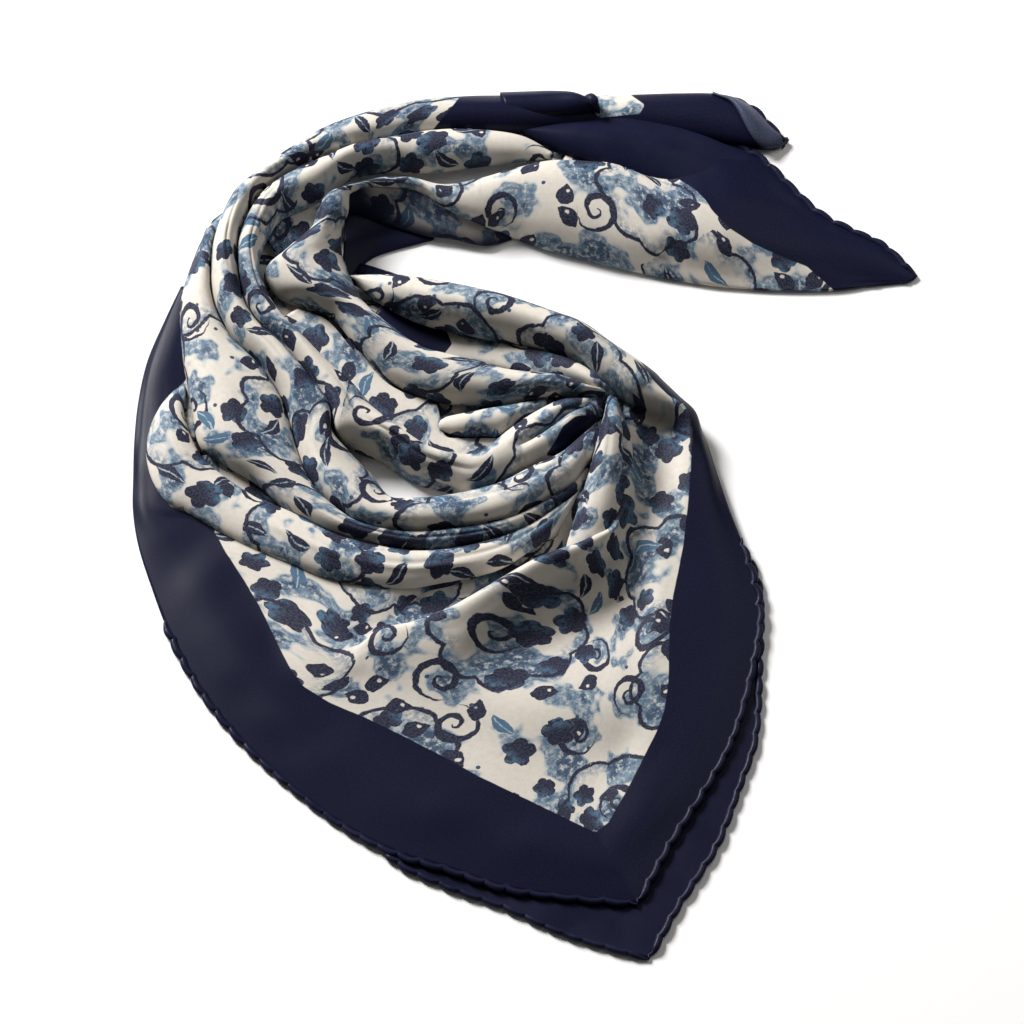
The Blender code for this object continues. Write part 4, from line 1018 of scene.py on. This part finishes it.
def makePanel(look):
    wingFar = wingUpper[::-1] + [(-96, 123, 3)]
    wingNear = wingLower[6::-1] + [(-92, 124, 5)]
    wingTop = wingCrest[::-1] + [8]
    wing = archKnots(wingFar, wingNear, wingTop, look["shares"], 0, 3)
    knots = np.concatenate([np.stack([lay(row) for row in panelNet]), wing])
    grid, at = netGrid(knots, look["counts"], look["rowStep"], look["cornerRow"], 3)
    columns = np.arange(grid.shape[1])
    calm = smoothStep(0, look["calmColumns"], columns)[None, :] * np.ones((len(at), 1))
    grid = waveGrid(grid, look, calm)
    # the print follows the cloth's own length, row by row from the edge
    inward = (grid[:, -1] - grid[:, 0])[:, :2]
    inward /= np.linalg.norm(inward, axis=1, keepdims=True)
    length = np.cumsum(np.linalg.norm(np.diff(grid, axis=1), axis=2), axis=1)
    length = np.concatenate([np.zeros((len(at), 1)), length], axis=1)
    flat = grid[:, :1, :2] + inward[:, None] * length[..., None]
    # rows that fan into the knot take it from above, and the roll's rows both ways from its crest
    fan = smoothStep(*look["fanRows"], at)[:, None, None]
    roll = smoothStep(*look["rollRows"], at)[:, None, None]
    mid = grid.shape[1] // 2
    fromCrest = (length - length[:, mid:mid + 1])[..., None]
    overCrest = grid[:, mid:mid + 1, :2] + inward[:, None] * fromCrest
    flat = (flat * (1 - fan) + grid[..., :2] * fan) * (1 - roll) + overCrest * roll
    turned = math.radians(look["printTurn"])
    uv = np.stack([flat[..., 0] * math.cos(turned) + flat[..., 1] * math.sin(turned),
                   flat[..., 1] * math.cos(turned) - flat[..., 0] * math.sin(turned)], -1)
    piece = meshFromGrid("front_cloth", grid, uv, insideEdge(grid, panelPrintEdge))
    thicken(piece)
    print("front_cloth faces", len(piece.data.polygons))
    return piece, grid, at


# the arch, its strand and the lower tail
lowerTail = {
    "stands": ["arch_roll", "tail_strand"],
    "rowStep": 1.8 * mm,
    "counts": [6, 6, 5, 6, 7, 7, 7, 6, 5, 3, 2],
    "shares": [0, 0.15, 0.35, 0.55, 0.75, 0.9, 1],
    "ripples": [(70, 12, 0.7), (30, 8, 0.25)],
    "waveTurn": -0.2,
    "calmColumns": 6, "printAt": (0.33, 0.62),
    # how far in the edge is turned under, and how high it lies there, in mm
    "turnedUnder": (1, 3), "turnedHeight": 0.9,
}


def makeTail(look):
    far = [(38, 62, 17)] + archLeft[::-1] + strandUpper
    near = [(42, 66, 19)] + archRight[::-1] + strandLower[1:]
    top = [22] + archCrest[::-1] + strandCrest
    arch = archKnots(far, near, top, look["shares"], 3, 2)
    tail = np.stack([lay(row) for row in tailNet])
    inward = (tail[:, 0] - tail[:, -1]) * [1, 1, 0]
    inward /= np.linalg.norm(inward, axis=1, keepdims=True)
    under = [tail[:, -1] + inward * reach * mm for reach in look["turnedUnder"]]
    for line in under:
        line[:, 2] = look["turnedHeight"] * mm
    tail = np.concatenate([tail, np.stack(under, 1)], 1)
    knots = np.concatenate([arch, tail])
    grid, at = netGrid(knots, look["counts"], look["rowStep"])
    columns = np.arange(grid.shape[1])
    calm = smoothStep(0, look["calmColumns"], columns)
    calm = calm * smoothStep(0, look["calmColumns"], columns[-1] - columns)
    grid = waveGrid(grid, look, calm[None, :] * np.ones((len(at), 1)))
    along, across = gridSizes(grid)
    uv = np.stack([along[:, None] + 0 * across + look["printAt"][0], across + look["printAt"][1]], -1)
    piece = meshFromGrid("arch_and_tail_cloth", grid, uv, insideEdge(grid, tailPrintEdge))
    thicken(piece)
    print("arch_and_tail_cloth faces", len(piece.data.polygons))
    return piece, grid, at


# under layer
underLayer = {
    "stands": ["under_layer"], "rowStep": 1.8 * mm, "counts": [8, 8], "cornerRow": 5,
    "ripples": [(40, 16, 0.25)], "middleRise": 0.8 * mm,
    "hem": [(-80, -146, 1), (-66.5, -167, 1.5), (-39.5, -180.5, 1.5), (-10, -191, 1.5), (20.5, -204.5, 1.5),
            (61, -216.5, 1.5), (75, -191.5, 1.5), (86.5, -174, 1.5), (96, -158, 1.5), (107, -129, 1.5),
            (114.5, -105.5, 1.5), (116.5, -68, 1.5), (116.5, -33, 1.5), (109, -12, 1)],
    "inner": [(-70, -138, 0.9), (-60, -150, 1), (-35.5, -162, 1.2), (-5.5, -169, 1.4), (17, -176, 1.5),
              (44, -180, 1.5), (54.5, -172, 1.5), (64.5, -157, 1.5), (74.5, -142, 1.5), (87, -122, 1.5),
              (94.5, -98, 1.5), (99, -68, 1.5), (101, -38, 1.5), (97, -16, 1)],
}


def makeUnder(look):
    hem, inner = lay(look["hem"]), lay(look["inner"])
    middle = (hem + inner) / 2
    middle[:, 2] += look["middleRise"]
    knots = np.stack([hem, middle, inner], 1)
    grid, at = netGrid(knots, look["counts"], look["rowStep"], look["cornerRow"], 3)
    grid = waveGrid(grid, look, np.ones(grid.shape[:2]))
    piece = meshFromGrid("under_cloth_layer", grid, grid[..., :2])
    thicken(piece)
    return piece, grid, at


# hems
hemLook = {
    "radius": 1.7 * mm, "pitch": 11.6 * mm, "scallop": 2.5 * mm, "sides": 10, "step": 0.8 * mm,
    # lengths of cloth over which the stitches' spacing, their depth and the roll's width drift
    "pitchDrift": 30 * mm, "depthDrift": 19 * mm, "widthDrift": 4 * mm,
    "endLength": 9 * mm, "endSize": 0.3, "sunk": 0.1 * mm, "overFloor": 0.2 * mm, "wide": 1.1, "high": 0.92,
}
rollEndLook = dict(hemLook, radius=2.6 * mm, scallop=0.9 * mm)


def resample(line, step):
    gaps = np.linalg.norm(np.diff(line, axis=0), axis=1)
    along = np.concatenate([[0], np.cumsum(gaps)])
    count = max(4, int(along[-1] / step))
    places = np.linspace(0, along[-1], count)
    return np.stack([np.interp(places, along, line[:, k]) for k in range(3)], -1), places


def makeHem(name, edge, inside, stands=(), look=hemLook):
    # a roll along the cloth's edge, drawn in a little at each stitch
    line, places = resample(edge, look["step"])
    inner, _ = resample(inside, look["step"])
    inner = inner[np.linspace(0, len(inner) - 1, len(line)).astype(int)]
    away = (line - inner) * [1, 1, 0]
    away /= np.maximum(np.linalg.norm(away, axis=1, keepdims=True), 1e-9)
    phase = places / look["pitch"] + softNoise(places / look["pitchDrift"], places * 0, 5) * 0.25
    swell = np.abs(np.sin(math.pi * phase)) ** 0.5
    depth = look["scallop"] * (0.75 + 0.35 * softNoise(places / look["depthDrift"], places * 0, 7))
    rough = softNoise(places / look["widthDrift"], places * 0, 9)
    radius = look["radius"] * (0.84 + 0.16 * swell + 0.06 * rough)
    toEnd = smoothStep(0, look["endLength"], np.minimum(places, places[-1] - places))
    radius *= look["endSize"] + (1 - look["endSize"]) * toEnd
    centre = line + away * (depth * (swell - 0.78))[:, None]
    centre[:, 2] = np.maximum(line[:, 2] - look["sunk"], radius + look["overFloor"])
    tangent = np.gradient(centre, axis=0)
    tangent /= np.linalg.norm(tangent, axis=1, keepdims=True)
    side = np.cross(tangent, [0, 0, 1])
    side /= np.linalg.norm(side, axis=1, keepdims=True)
    up = np.cross(side, tangent)
    bm = bmesh.new()
    rings = []
    for i in range(len(centre)):
        ring = []
        for k in range(look["sides"]):
            a = math.tau * k / look["sides"]
            out = side[i] * math.cos(a) * look["wide"] + up[i] * math.sin(a) * look["high"]
            ring.append(bm.verts.new(centre[i] + radius[i] * out))
        rings.append(ring)
    for here, there in zip(rings, rings[1:]):
        for k in range(look["sides"]):
            n = (k + 1) % look["sides"]
            bm.faces.new((here[k], here[n], there[n], there[k]))
    bm.faces.new(rings[0])
    bm.faces.new(rings[-1])
    bmesh.ops.recalc_face_normals(bm, faces=bm.faces[:])
    mesh = bpy.data.meshes.new(name)
    bm.to_mesh(mesh)
    bm.free()
    mesh.shade_smooth()
    piece = bpy.data.objects.new(name, mesh)
    bpy.context.scene.collection.objects.link(piece)
    finishPiece(piece, {"stands": list(stands)}, hemSilk, "rolled_hem")
    print(name, "length", round(float(places[-1]), 3), "faces", len(mesh.polygons))
    return piece


# folds of the heap
folds = {
    "back_roll": {
        "far": upperTailFar + middleOuter[1:] + [(39, 37, 13)],
        "near": upperTailNear + middleInner[1:] + [(35, 50, 13)],
        "crest": upperTailCrest + middleCrest[1:] + [20], "columns": 30,
        "printEdge": rollPrintEdge, "printAt": (0.02, 0.31),
        "printPatch": read([(588, 86), (622, 86), (645, 103), (640, 112), (600, 116), (588, 104)]),
        "stands": ["upper_tail", "middle_roll"], "ripples": [(75, 9, 0.8), (30, 6, 0.25)],
        "creases": [(10, 17, .3, .62, -1.2, 2.2), (17, 24, .5, .35, -1.0, 2.0), (24, 32, .62, .5, -1.3, 2.2)],
    },
    "outer_roll_cloth": {
        "far": [(-151, 157, 3)] + outerSide + [(33, 24, 12)],
        "near": [(-145, 154, 8)] + middleOuter[6:23] + [(30, 28, 12)], "crest": [9] + outerCrest + [15],
        "columns": 24, "printAt": (0.4, 0.1), "stands": ["outer_roll"],
        "creases": [(2, 9, .4, .6, -1.0, 2.0), (8, 15, .55, .4, -0.9, 1.8)],
    },
    "lower_fold_cloth": {
        "far": read([
            (183, 384, 5.8), (171, 393, 6.2), (159, 408, 6.4), (149, 430, 6.5), (146, 454, 6.8),
            (152, 480, 7.2), (166, 501, 7.6), (189, 513, 8), (212, 527, 8.4), (243, 543, 9.2), (280, 559, 10),
            (335, 580, 10), (400, 588, 10), (440, 583, 10), (495, 571, 11), (530, 551, 12), (556, 532, 12),
            (573, 507, 13), (588, 484, 10)]),
        "near": read([
            (187, 396, 7), (184, 412, 8), (188, 428, 8), (194, 444, 8), (201, 456, 8), (210, 466, 8),
            (220, 474, 8.5), (231, 482, 8.5), (243, 490, 9), (262, 501, 10), (290, 512, 11), (340, 536, 11),
            (402, 550, 11), (445, 550, 11), (490, 541, 12), (527, 527, 13), (558, 507, 14), (577, 493, 15),
            (590, 476, 11)]),
        "crest": [8, 11, 13.5, 15, 15.5, 15.5, 15.5, 15.5, 15.5, 16, 17, 18, 18, 18, 18, 18, 18, 17, 13],
        "fullness": 0.95, "tuckFar": (2.2, 3), "columns": 28, "printAt": (0.1, 0.52),
        "stands": ["lower_fold"], "ripples": [(60, 10, 0.6)],
        "creases": [(9, 14, .5, .35, 1.0, 2.2), (11, 17, .45, .6, -0.9, 1.8)],
    },
    "inner_roll_cloth": {
        "far": (innerStart + middleInner[:12] + [(-98, 57.5, 19), (-94.5, 46, 18), (-86, 37.5, 8)]
                + innerRim + [(40, 56, 13)]),
        "near": innerSide + [(38, 62, 14)], "crest": innerCrest + [20], "columns": 28,
        "printAt": (0.62, 0.21),
        "stands": ["inner_roll"], "ripples": [(75, 9, 0.8), (30, 6, 0.2)],
        "creases": [(6, 13, .4, .7, -1.0, 2.0), (14, 22, .6, .4, -1.2, 2.2), (22.5, 26.5, .45, .6, -8, 4.2)],
        # navy painted on the roll as the shade of the dark hollow by the knot
        "paintedShadePatch": [(35, 55), (25, 54), (18.5, 49), (14.5, 41.5), (9.5, 34.5), (14.5, 34.5), (22, 38.5),
                      (30, 45.5), (35, 52)],
    },
    "nook_cloth": {
        "far": innerSide[6:10], "near": nookSide, "crest": [13, 14, 14, 13], "columns": 14,
        "printAt": (0.7, 0.4), "stands": ["nook_sheet"], "tuckFar": (1, 2), "tuckNear": (1, 2),
    },
    "sunken_cloth": {
        "far": innerSide[12:23], "near": hollowSide, "crest": [13] * 11, "columns": 16,
        "printAt": (0.15, 0.7),
        "stands": ["sunken_face"], "tuckFar": (1, 3), "tuckNear": (1, 3),
    },
    "arch_back": {
        "far": [(-96, 163, 20)] + strandLower[:6],
        "near": [(-96, 152, 6)] + curtainFoot + [(-7, 142.5, 1)],
        "crest": [5, 5, 5, 5, 5, 4, 1.5],
        "columns": 16, "printAt": (0.5, 0.5), "tuckFar": (0, 0), "tuckNear": (1, 2),
        "stands": ["arch_curtain"],
        # outside this line the face turns softly to navy: painted shade at the foot of the arch's hollow
        "printEdge": [(-80, 176), (-63, 182), (-23, 172), (0, 146), (-28, 143), (-43, 147), (-60, 152),
                      (-71, 156), (-78, 163)],
        "silk": "shaded",
    },
    # a flat navy sheet on the table under the arch, as painted shade in the hollow
    "hollow_painted_shade_cloth": {
        "far": read([(346, 206, 5), (366, 213, 4), (392, 221, 3), (432, 232, 1.2)]),
        "near": read([(340, 290, 1.6), (356, 272, 1.2), (378, 255, 1), (434, 239, 0.8)]),
        "crest": [5, 4, 3, 1.4], "columns": 14, "tuckFar": (0, 0), "tuckNear": (0, 0), "leastRise": 0.2,
        "silk": "border",
    },
    "under_cloth": {
        "far": ([(-71, 109, 9.5), (-53, 100.5, 9.5), (-35.5, 96, 9.5), (-17, 92, 11)]
                + wingLower[5:] + [(45, 64, 17)]),
        "near": underfoldSide + [(42, 62, 18)],
        "crest": underfoldCrest + [21], "columns": 18, "printAt": (0.81, 0.3), "stands": ["under_fold"],
        "tuckFar": (1, 3), "tuckNear": (1.5, 3),
        # the navy left of this line is painted shade in the valley between the rolls
        "printEdge": [(-30, 112), (-40, 97), (-37, 90), (-42, 84), (-36, 76), (-30, 60), (80, 40), (90, 110)],
    },
    "roll_end_cloth": {
        "far": read([(500, 92, 6), (528, 91, 7), (553, 90, 9), (573, 92, 10), (586, 99, 10)]),
        "near": read([(506, 119, 8), (534, 118, 9), (560, 116, 10), (582, 113, 10.5), (599, 110, 10.5)]),
        "crest": [14.5, 15.3, 16, 17, 16], "columns": 20, "tuckFar": (2, 3), "tuckNear": (1, 2),
        "silk": "border",
    },
    "tail_turned_back": {
        "far": read([
            (712, 92, 2.5), (727, 96, 3), (739, 100, 3.5), (749, 104, 3.5), (760, 112, 3.5),
            (771, 124, 3), (782, 134, 2.5), (789, 140, 2)]),
        "near": read([
            (716, 93, 8), (731, 100, 9.5), (739, 109, 10.5), (744, 119, 10.5), (750, 130, 9.5),
            (757, 140, 7.5), (766, 147, 5), (783, 145, 3)]),
        "crest": [7.5, 10, 11.5, 12, 11, 9, 6.5, 3.2], "columns": 14, "tuckFar": (1, 1), "tuckNear": (1, 2),
        "silk": "reverse", "ripples": [(14, 6, 0.5)],
    },
    "short_cloth": {
        "far": [(-43.5, 50.5, 13)] + shortUpper + [(15, 62, 15)],
        "near": [(-43, 48, 13)] + shortLower + [(14, 60, 14)], "crest": [13.8] + shortCrest + [15],
        "columns": 18, "printAt": (0.9, 0.1), "stands": ["short_fold"],
    },
    "centre_cloth": {
        "far": centreLeft, "near": centreRight, "crest": centreCrest, "printAt": (0.44, 0.92),
        "stands": ["centre_fold"], "ripples": [(50, 8, 0.6)],
        "creases": [(1, 7, .7, .8, -1.6, 1.8), (0.5, 5, .4, .45, -0.8, 1.6)],
    },
}

silks = {
    "printed": (printedSilk, "printed_silk"), "shaded": (paintedShadeSilk, "printed_silk"),
    "border": (borderSilk, "border_silk"), "reverse": (reverseAndPaintedLightSilk, "border_silk"),
}
made = {}


def addFold(name, look):
    piece, grid = makeFold(name, look)
    finishPiece(piece, look, *silks[look.get("silk", "printed")])
    made[name] = (piece, grid)


for name, look in folds.items():
    addFold(name, look)

tail = {
    "far": tailFar,
    "near": [(-1, 194.5, 5), (16, 186, 4), (36, 179, 4), (56, 172, 4), (78, 166, 4), (94, 158, 3),
             (108, 148, 2), (125, 138, 1.5)],
    "crest": [9, 11, 12, 11.8, 10.5, 8.2, 4.5, 1.8], "columns": 20, "stands": ["lower_tail"],
    "tuckFar": (1.5, 2), "tuckNear": (1, 3), "leastRise": 0.3, "silk": "border",
}
addFold("tail_border", tail)

tailPiece, tailGrid, tailAt = makeTail(lowerTail)
finishPiece(tailPiece, lowerTail, printedSilk, "printed_silk")

underPiece, underGrid, underAt = makeUnder(underLayer)
finishPiece(underPiece, underLayer, borderSilk, "border_silk")

scrap = {
    "far": [(-83, 131, 1.5), (-69, 126.5, 1.5), (-54, 121, 1.5)],
    "near": [(-85, 124, 1.5), (-70, 120.9, 1.5), (-55.5, 118.1, 1.5)], "crest": [3] * 3, "columns": 8,
    "stands": ["table_scrap"], "tuckFar": (0, 0), "tuckNear": (0, 0), "silk": "border",
}
addFold("table_cloth_scrap", scrap)

panelPiece, panelGrid, panelAt = makePanel(frontPanel)
finishPiece(panelPiece, frontPanel, printedSilk, "printed_silk")


def rowsBetween(grid, at, first, last, column):
    chosen = (at >= first) & (at <= last)
    return grid[chosen, column]


def hemAlong(name, grid, at, first, last, stands=()):
    # a hem on a cloth's first column, its inner side some columns further in
    inner = rowsBetween(grid, at, first, last, hemColumn)
    return makeHem(name, rowsBetween(grid, at, first, last, 0), inner, stands)


corner = frontPanel["cornerRow"]
hemColumn = 6
endGrid, cornerGrid = made["roll_end_cloth"][1], made["tail_turned_back"][1]
hems = {
    "front": [
        hemAlong("hem_left", panelGrid, panelAt, 8.7, corner, ["hem_front_left"]),
        hemAlong("hem_right", panelGrid, panelAt, corner, 25.3, ["hem_front_right"])],
    "below": [
        hemAlong("hem_below", underGrid, underAt, 0.6, underLayer["cornerRow"], ["hem_under"]),
        hemAlong("hem_below_right", underGrid, underAt, underLayer["cornerRow"], 13)],
    "tail": [hemAlong("hem_tail", tailGrid, tailAt, 26.6, 34, ["hem_lower_tail"])],
    "corner": [makeHem("hem_upper", cornerGrid[4:, 6], cornerGrid[4:, 10], ["hem_upper_tail"])],
    "end": [makeHem("hem_roll_end", endGrid[-1, 4:-6], endGrid[-4, 4:-6], look=rollEndLook)],
}


def declareSheet(piece, grid, flat=None):
    # the flat size is measured along the cloth of the made piece
    width = float(np.linalg.norm(np.diff(grid, axis=1), axis=2).sum(1).max())
    length = float(np.linalg.norm(np.diff(grid, axis=0), axis=2).sum(0).max())
    if flat:
        print(piece.name, "measured", round(width, 3), round(length, 3))
        width, length = flat
    a, b, c, d = grid[:-1, :-1], grid[:-1, 1:], grid[1:, 1:], grid[1:, :-1]
    area = np.linalg.norm(np.cross(b - a, c - a), axis=2).sum()
    area += np.linalg.norm(np.cross(c - a, d - a), axis=2).sum()
    area = float(area) / 2
    share = round(area / width / length, 2)
    print(piece.name, "cut", round(width, 3), round(length, 3), "area", round(area, 5), share)


# hidden layers: rounded heaps of cloth inside the folds, layered at their edges
coreTurnOuter = [
    (-28, 206, 3), (-58, 202, 3), (-96, 188.5, 3), (-118, 175.5, 3), (-134, 164.5, 3),
    (-145, 154.5, 3), (-156, 144, 3), (-163, 129, 3), (-168, 108, 6), (-168, 84, 8), (-167, 68, 8),
    (-165, 55, 8), (-163, 38, 8)]
coreTurnInner = [
    (-31, 183, 8), (-52, 180.5, 8), (-85, 178, 9), (-104, 164, 10), (-115, 158, 11), (-119, 146, 11),
    (-114, 139, 11), (-102, 128, 11), (-99, 108, 11), (-99, 94, 11), (-99, 82, 11), (-99, 69, 11),
    (-102, 56, 11)]
coreTurnTop = [5, 6, 7, 8, 8.5, 8.5, 9, 9, 9, 9, 9, 9, 8.5]
coreBendOuter = [(-162.6, 37.3, 8), (-160, 28, 8), (-148, 12, 8), (-122, -8, 9), (-96, -22, 9)]
coreBendInner = [(-102, 55.3, 11), (-102, 44, 7), (-94, 31, 6), (-84, 19, 6), (-74, 8, 6)]
coreBendTop = [7.5, 7, 7, 7, 7]
coreRimOuter = [
    (-95.5, -22.7, 9), (-66, -58, 9), (-43, -60, 9), (-16, -52, 9.5), (8, -38, 10), (19, -14, 11)]
coreRimInner = [(-73.5, 7.4, 6), (-55, 4, 6), (-40, 5.5, 6), (-25, 8.5, 8), (-9, 14, 9), (21, 19, 12)]
coreRimTop = [7, 7, 7, 7, 7.5, 8.5]
coreBackOuter = [
    (-94, 52, 9), (-72, 37, 6), (-40, 21, 7), (-26, 19, 8), (-11, 24, 9), (17, 41, 12), (26, 48, 13)]
coreBackInner = [
    (-91, 116, 9), (-66, 115, 6), (-42, 111, 6), (-23, 107, 6), (-4, 101, 6), (15, 94, 6), (34, 84, 6)]
coreBackTop = [8.5, 8.5, 8.5, 8.5, 9, 9, 9]
corePanelOuter = [
    (-125, -53, 8), (-107, -80, 8), (-78, -95, 8), (-38, -114, 8), (-3, -131, 7.5), (34, -148, 7),
    (48, -130, 7.5), (62, -101, 8), (68, -79, 8), (69, -51, 9), (74, -18, 9), (77, 9, 9), (77, 35, 8)]
corePanelInner = [
    (-101, -45, 9.5), (-84, -69, 9), (-62, -74, 9), (-38, -75, 9.5), (-12, -67, 10), (13, -51, 10),
    (31, -38, 10.5), (42, -23, 10.5), (47, -8, 11), (46, 12, 11.5), (45, 27, 12), (47, 42, 12),
    (50, 52, 12)]
corePanelTop = [7.1, 7.1, 7.1, 7.1, 6.7, 5.8, 6.4, 7, 7.1, 7.1, 7.1, 7.1, 7]
coreTailOuter = [
    (20, 197, 5), (37, 201, 4), (56, 201, 4), (80, 195, 4), (99, 186, 3.5), (115, 175, 3.5),
    (132, 160, 3.5), (152, 145, 3.5)]
coreTailInner = [
    (9, 143, 4), (27, 138, 4), (43.5, 134, 4), (62, 130, 4), (80.5, 126.5, 4), (93.5, 124.5, 4),
    (109.5, 122, 4), (124, 121, 4)]
coreTailTop = [6.3, 6.3, 6.3, 6.3, 6.3, 5.8, 5.2, 3.8]


layersLook = {
    "step": 3 * mm, "columns": 26,
    # how many layers step up at the edges, over what share of the width, and how sharp a step is
    "layers": 4, "edgeShare": 0.16, "sharp": 0.4,
    # how far below the drawn tops they lie, in mm
    "below": 0.8, "lower": 0.4, "lowerUnderPanel": 2.2,
}


def makeLayers(name, outer, inner, tops):
    look = layersLook
    at = stationsFor([outer, inner], look["step"])
    start, end = lay(smoothRows(outer, at)), lay(smoothRows(inner, at))
    top = (smoothRows(tops, at) - look["below"]) * mm
    share = np.linspace(0, 1, look["columns"])
    grid = start[:, None] * (1 - share[None, :, None]) + end[:, None] * share[None, :, None]
    edge = np.minimum(share, 1 - share) / look["edgeShare"]
    steps = np.clip(edge, 0, 1) * look["layers"]
    level = (np.floor(steps) + (steps - np.floor(steps)) ** look["sharp"]) / look["layers"]
    grid[..., 2] = cloth["floor"] + (top - cloth["floor"]) * np.clip(level, 0, 1)[None, :]
    # close the ends
    grid[[0, -1], :, 2] = cloth["floor"]
    along, across = gridSizes(grid)
    uv = np.stack([along[:, None] + 0 * across, across], -1)
    piece = meshFromGrid(name, grid, uv)
    thicken(piece)
    return piece, grid


hiddenParts = {
    "layers_turn": ("hidden_layers_turn", coreTurnOuter, coreTurnInner, coreTurnTop),
    "layers_bend": ("hidden_layers_bend", coreBendOuter, coreBendInner, coreBendTop),
    "layers_rim": ("hidden_layers_rim", coreRimOuter, coreRimInner, coreRimTop),
    "layers_back": ("hidden_layers_back", coreBackOuter, coreBackInner, coreBackTop),
    "layers_panel": ("hidden_layers_panel", corePanelOuter, corePanelInner, corePanelTop),
    "layers_tail": ("hidden_layers_tail", coreTailOuter, coreTailInner, coreTailTop),
}
for name, (node, outer, inner, tops) in hiddenParts.items():
    lower = layersLook["lowerUnderPanel" if name == "layers_panel" else "lower"]
    tops = [t - lower for t in tops]
    piece, grid = makeLayers(name, outer, inner, tops)
    finishPiece(piece, {"stands": [node]}, hiddenSilk, "hidden_silk")
    declareSheet(piece, grid)

for name, (piece, grid) in made.items():
    declareSheet(piece, grid)
# the front is a corner of the square: its two hems meet at a right angle
hemSides = []
for first, last in ((0, corner), (corner, len(panelNet) + 2)):
    side = np.diff(rowsBetween(panelGrid, panelAt, first, last, 0), axis=0)
    hemSides.append(float(np.linalg.norm(side, axis=1).sum()))
declareSheet(panelPiece, panelGrid, hemSides)
declareSheet(tailPiece, tailGrid)
declareSheet(underPiece, underGrid)

# table, light and camera
stageLook = {
    "floorSize": 8.0, "floorColour": (0.88, 0.87, 0.86, 1), "floorRoughness": 0.9,
    "world": (1.0, 0.985, 0.965, 1), "worldStrength": 0.08,
    "keySize": 1.3, "keyPower": 225, "keyPlace": (-1.80, 2.02, 1.80),
    "fillSize": 1.6, "fillPower": 9.0, "fillPlace": (1.0, 0.7, 1.5),
    "lens": 1687.5, "sensor": 36, "nearest": 0.1, "farthest": 60, "distance": 24, "aim": (-7, 6, 0),
}
bpy.ops.mesh.primitive_plane_add(size=stageLook["floorSize"])
floor = bpy.context.object
floor.name = "table_top"
paper = bpy.data.materials.new("paper")
paper.use_nodes = True
paperInputs = paper.node_tree.nodes["Principled BSDF"].inputs
paperInputs["Base Color"].default_value = stageLook["floorColour"]
paperInputs["Roughness"].default_value = stageLook["floorRoughness"]
floor.data.materials.append(paper)

world = bpy.data.worlds.new("studio")
world.use_nodes = True
world.node_tree.nodes["Background"].inputs[0].default_value = stageLook["world"]
world.node_tree.nodes["Background"].inputs[1].default_value = stageLook["worldStrength"]
bpy.context.scene.world = world


def areaLight(name, place, power, size):
    light = bpy.data.lights.new(name, "AREA")
    light.energy = power
    light.shape = "DISK"
    light.size = size
    lamp = bpy.data.objects.new(name, light)
    lamp.location = place
    lamp.rotation_euler = (-Vector(place)).to_track_quat("-Z", "Y").to_euler()
    bpy.context.scene.collection.objects.link(lamp)


areaLight("window", stageLook["keyPlace"], stageLook["keyPower"], stageLook["keySize"])
areaLight("bounce", stageLook["fillPlace"], stageLook["fillPower"], stageLook["fillSize"])

cameraData = bpy.data.cameras.new("view")
camera = bpy.data.objects.new("view", cameraData)
bpy.context.scene.collection.objects.link(camera)
cameraData.lens = stageLook["lens"]
cameraData.sensor_width = stageLook["sensor"]
cameraData.clip_start = stageLook["nearest"]
cameraData.clip_end = stageLook["farthest"]
aim = Vector(lay([stageLook["aim"]])[0])
away = Vector((0, -math.cos(drawing["slope"]), math.sin(drawing["slope"])))
camera.location = aim + away * stageLook["distance"]
camera.rotation_euler = away.to_track_quat("Z", "Y").to_euler()
bpy.context.scene.camera = camera
bpy.context.scene.view_settings.view_transform = "Standard"
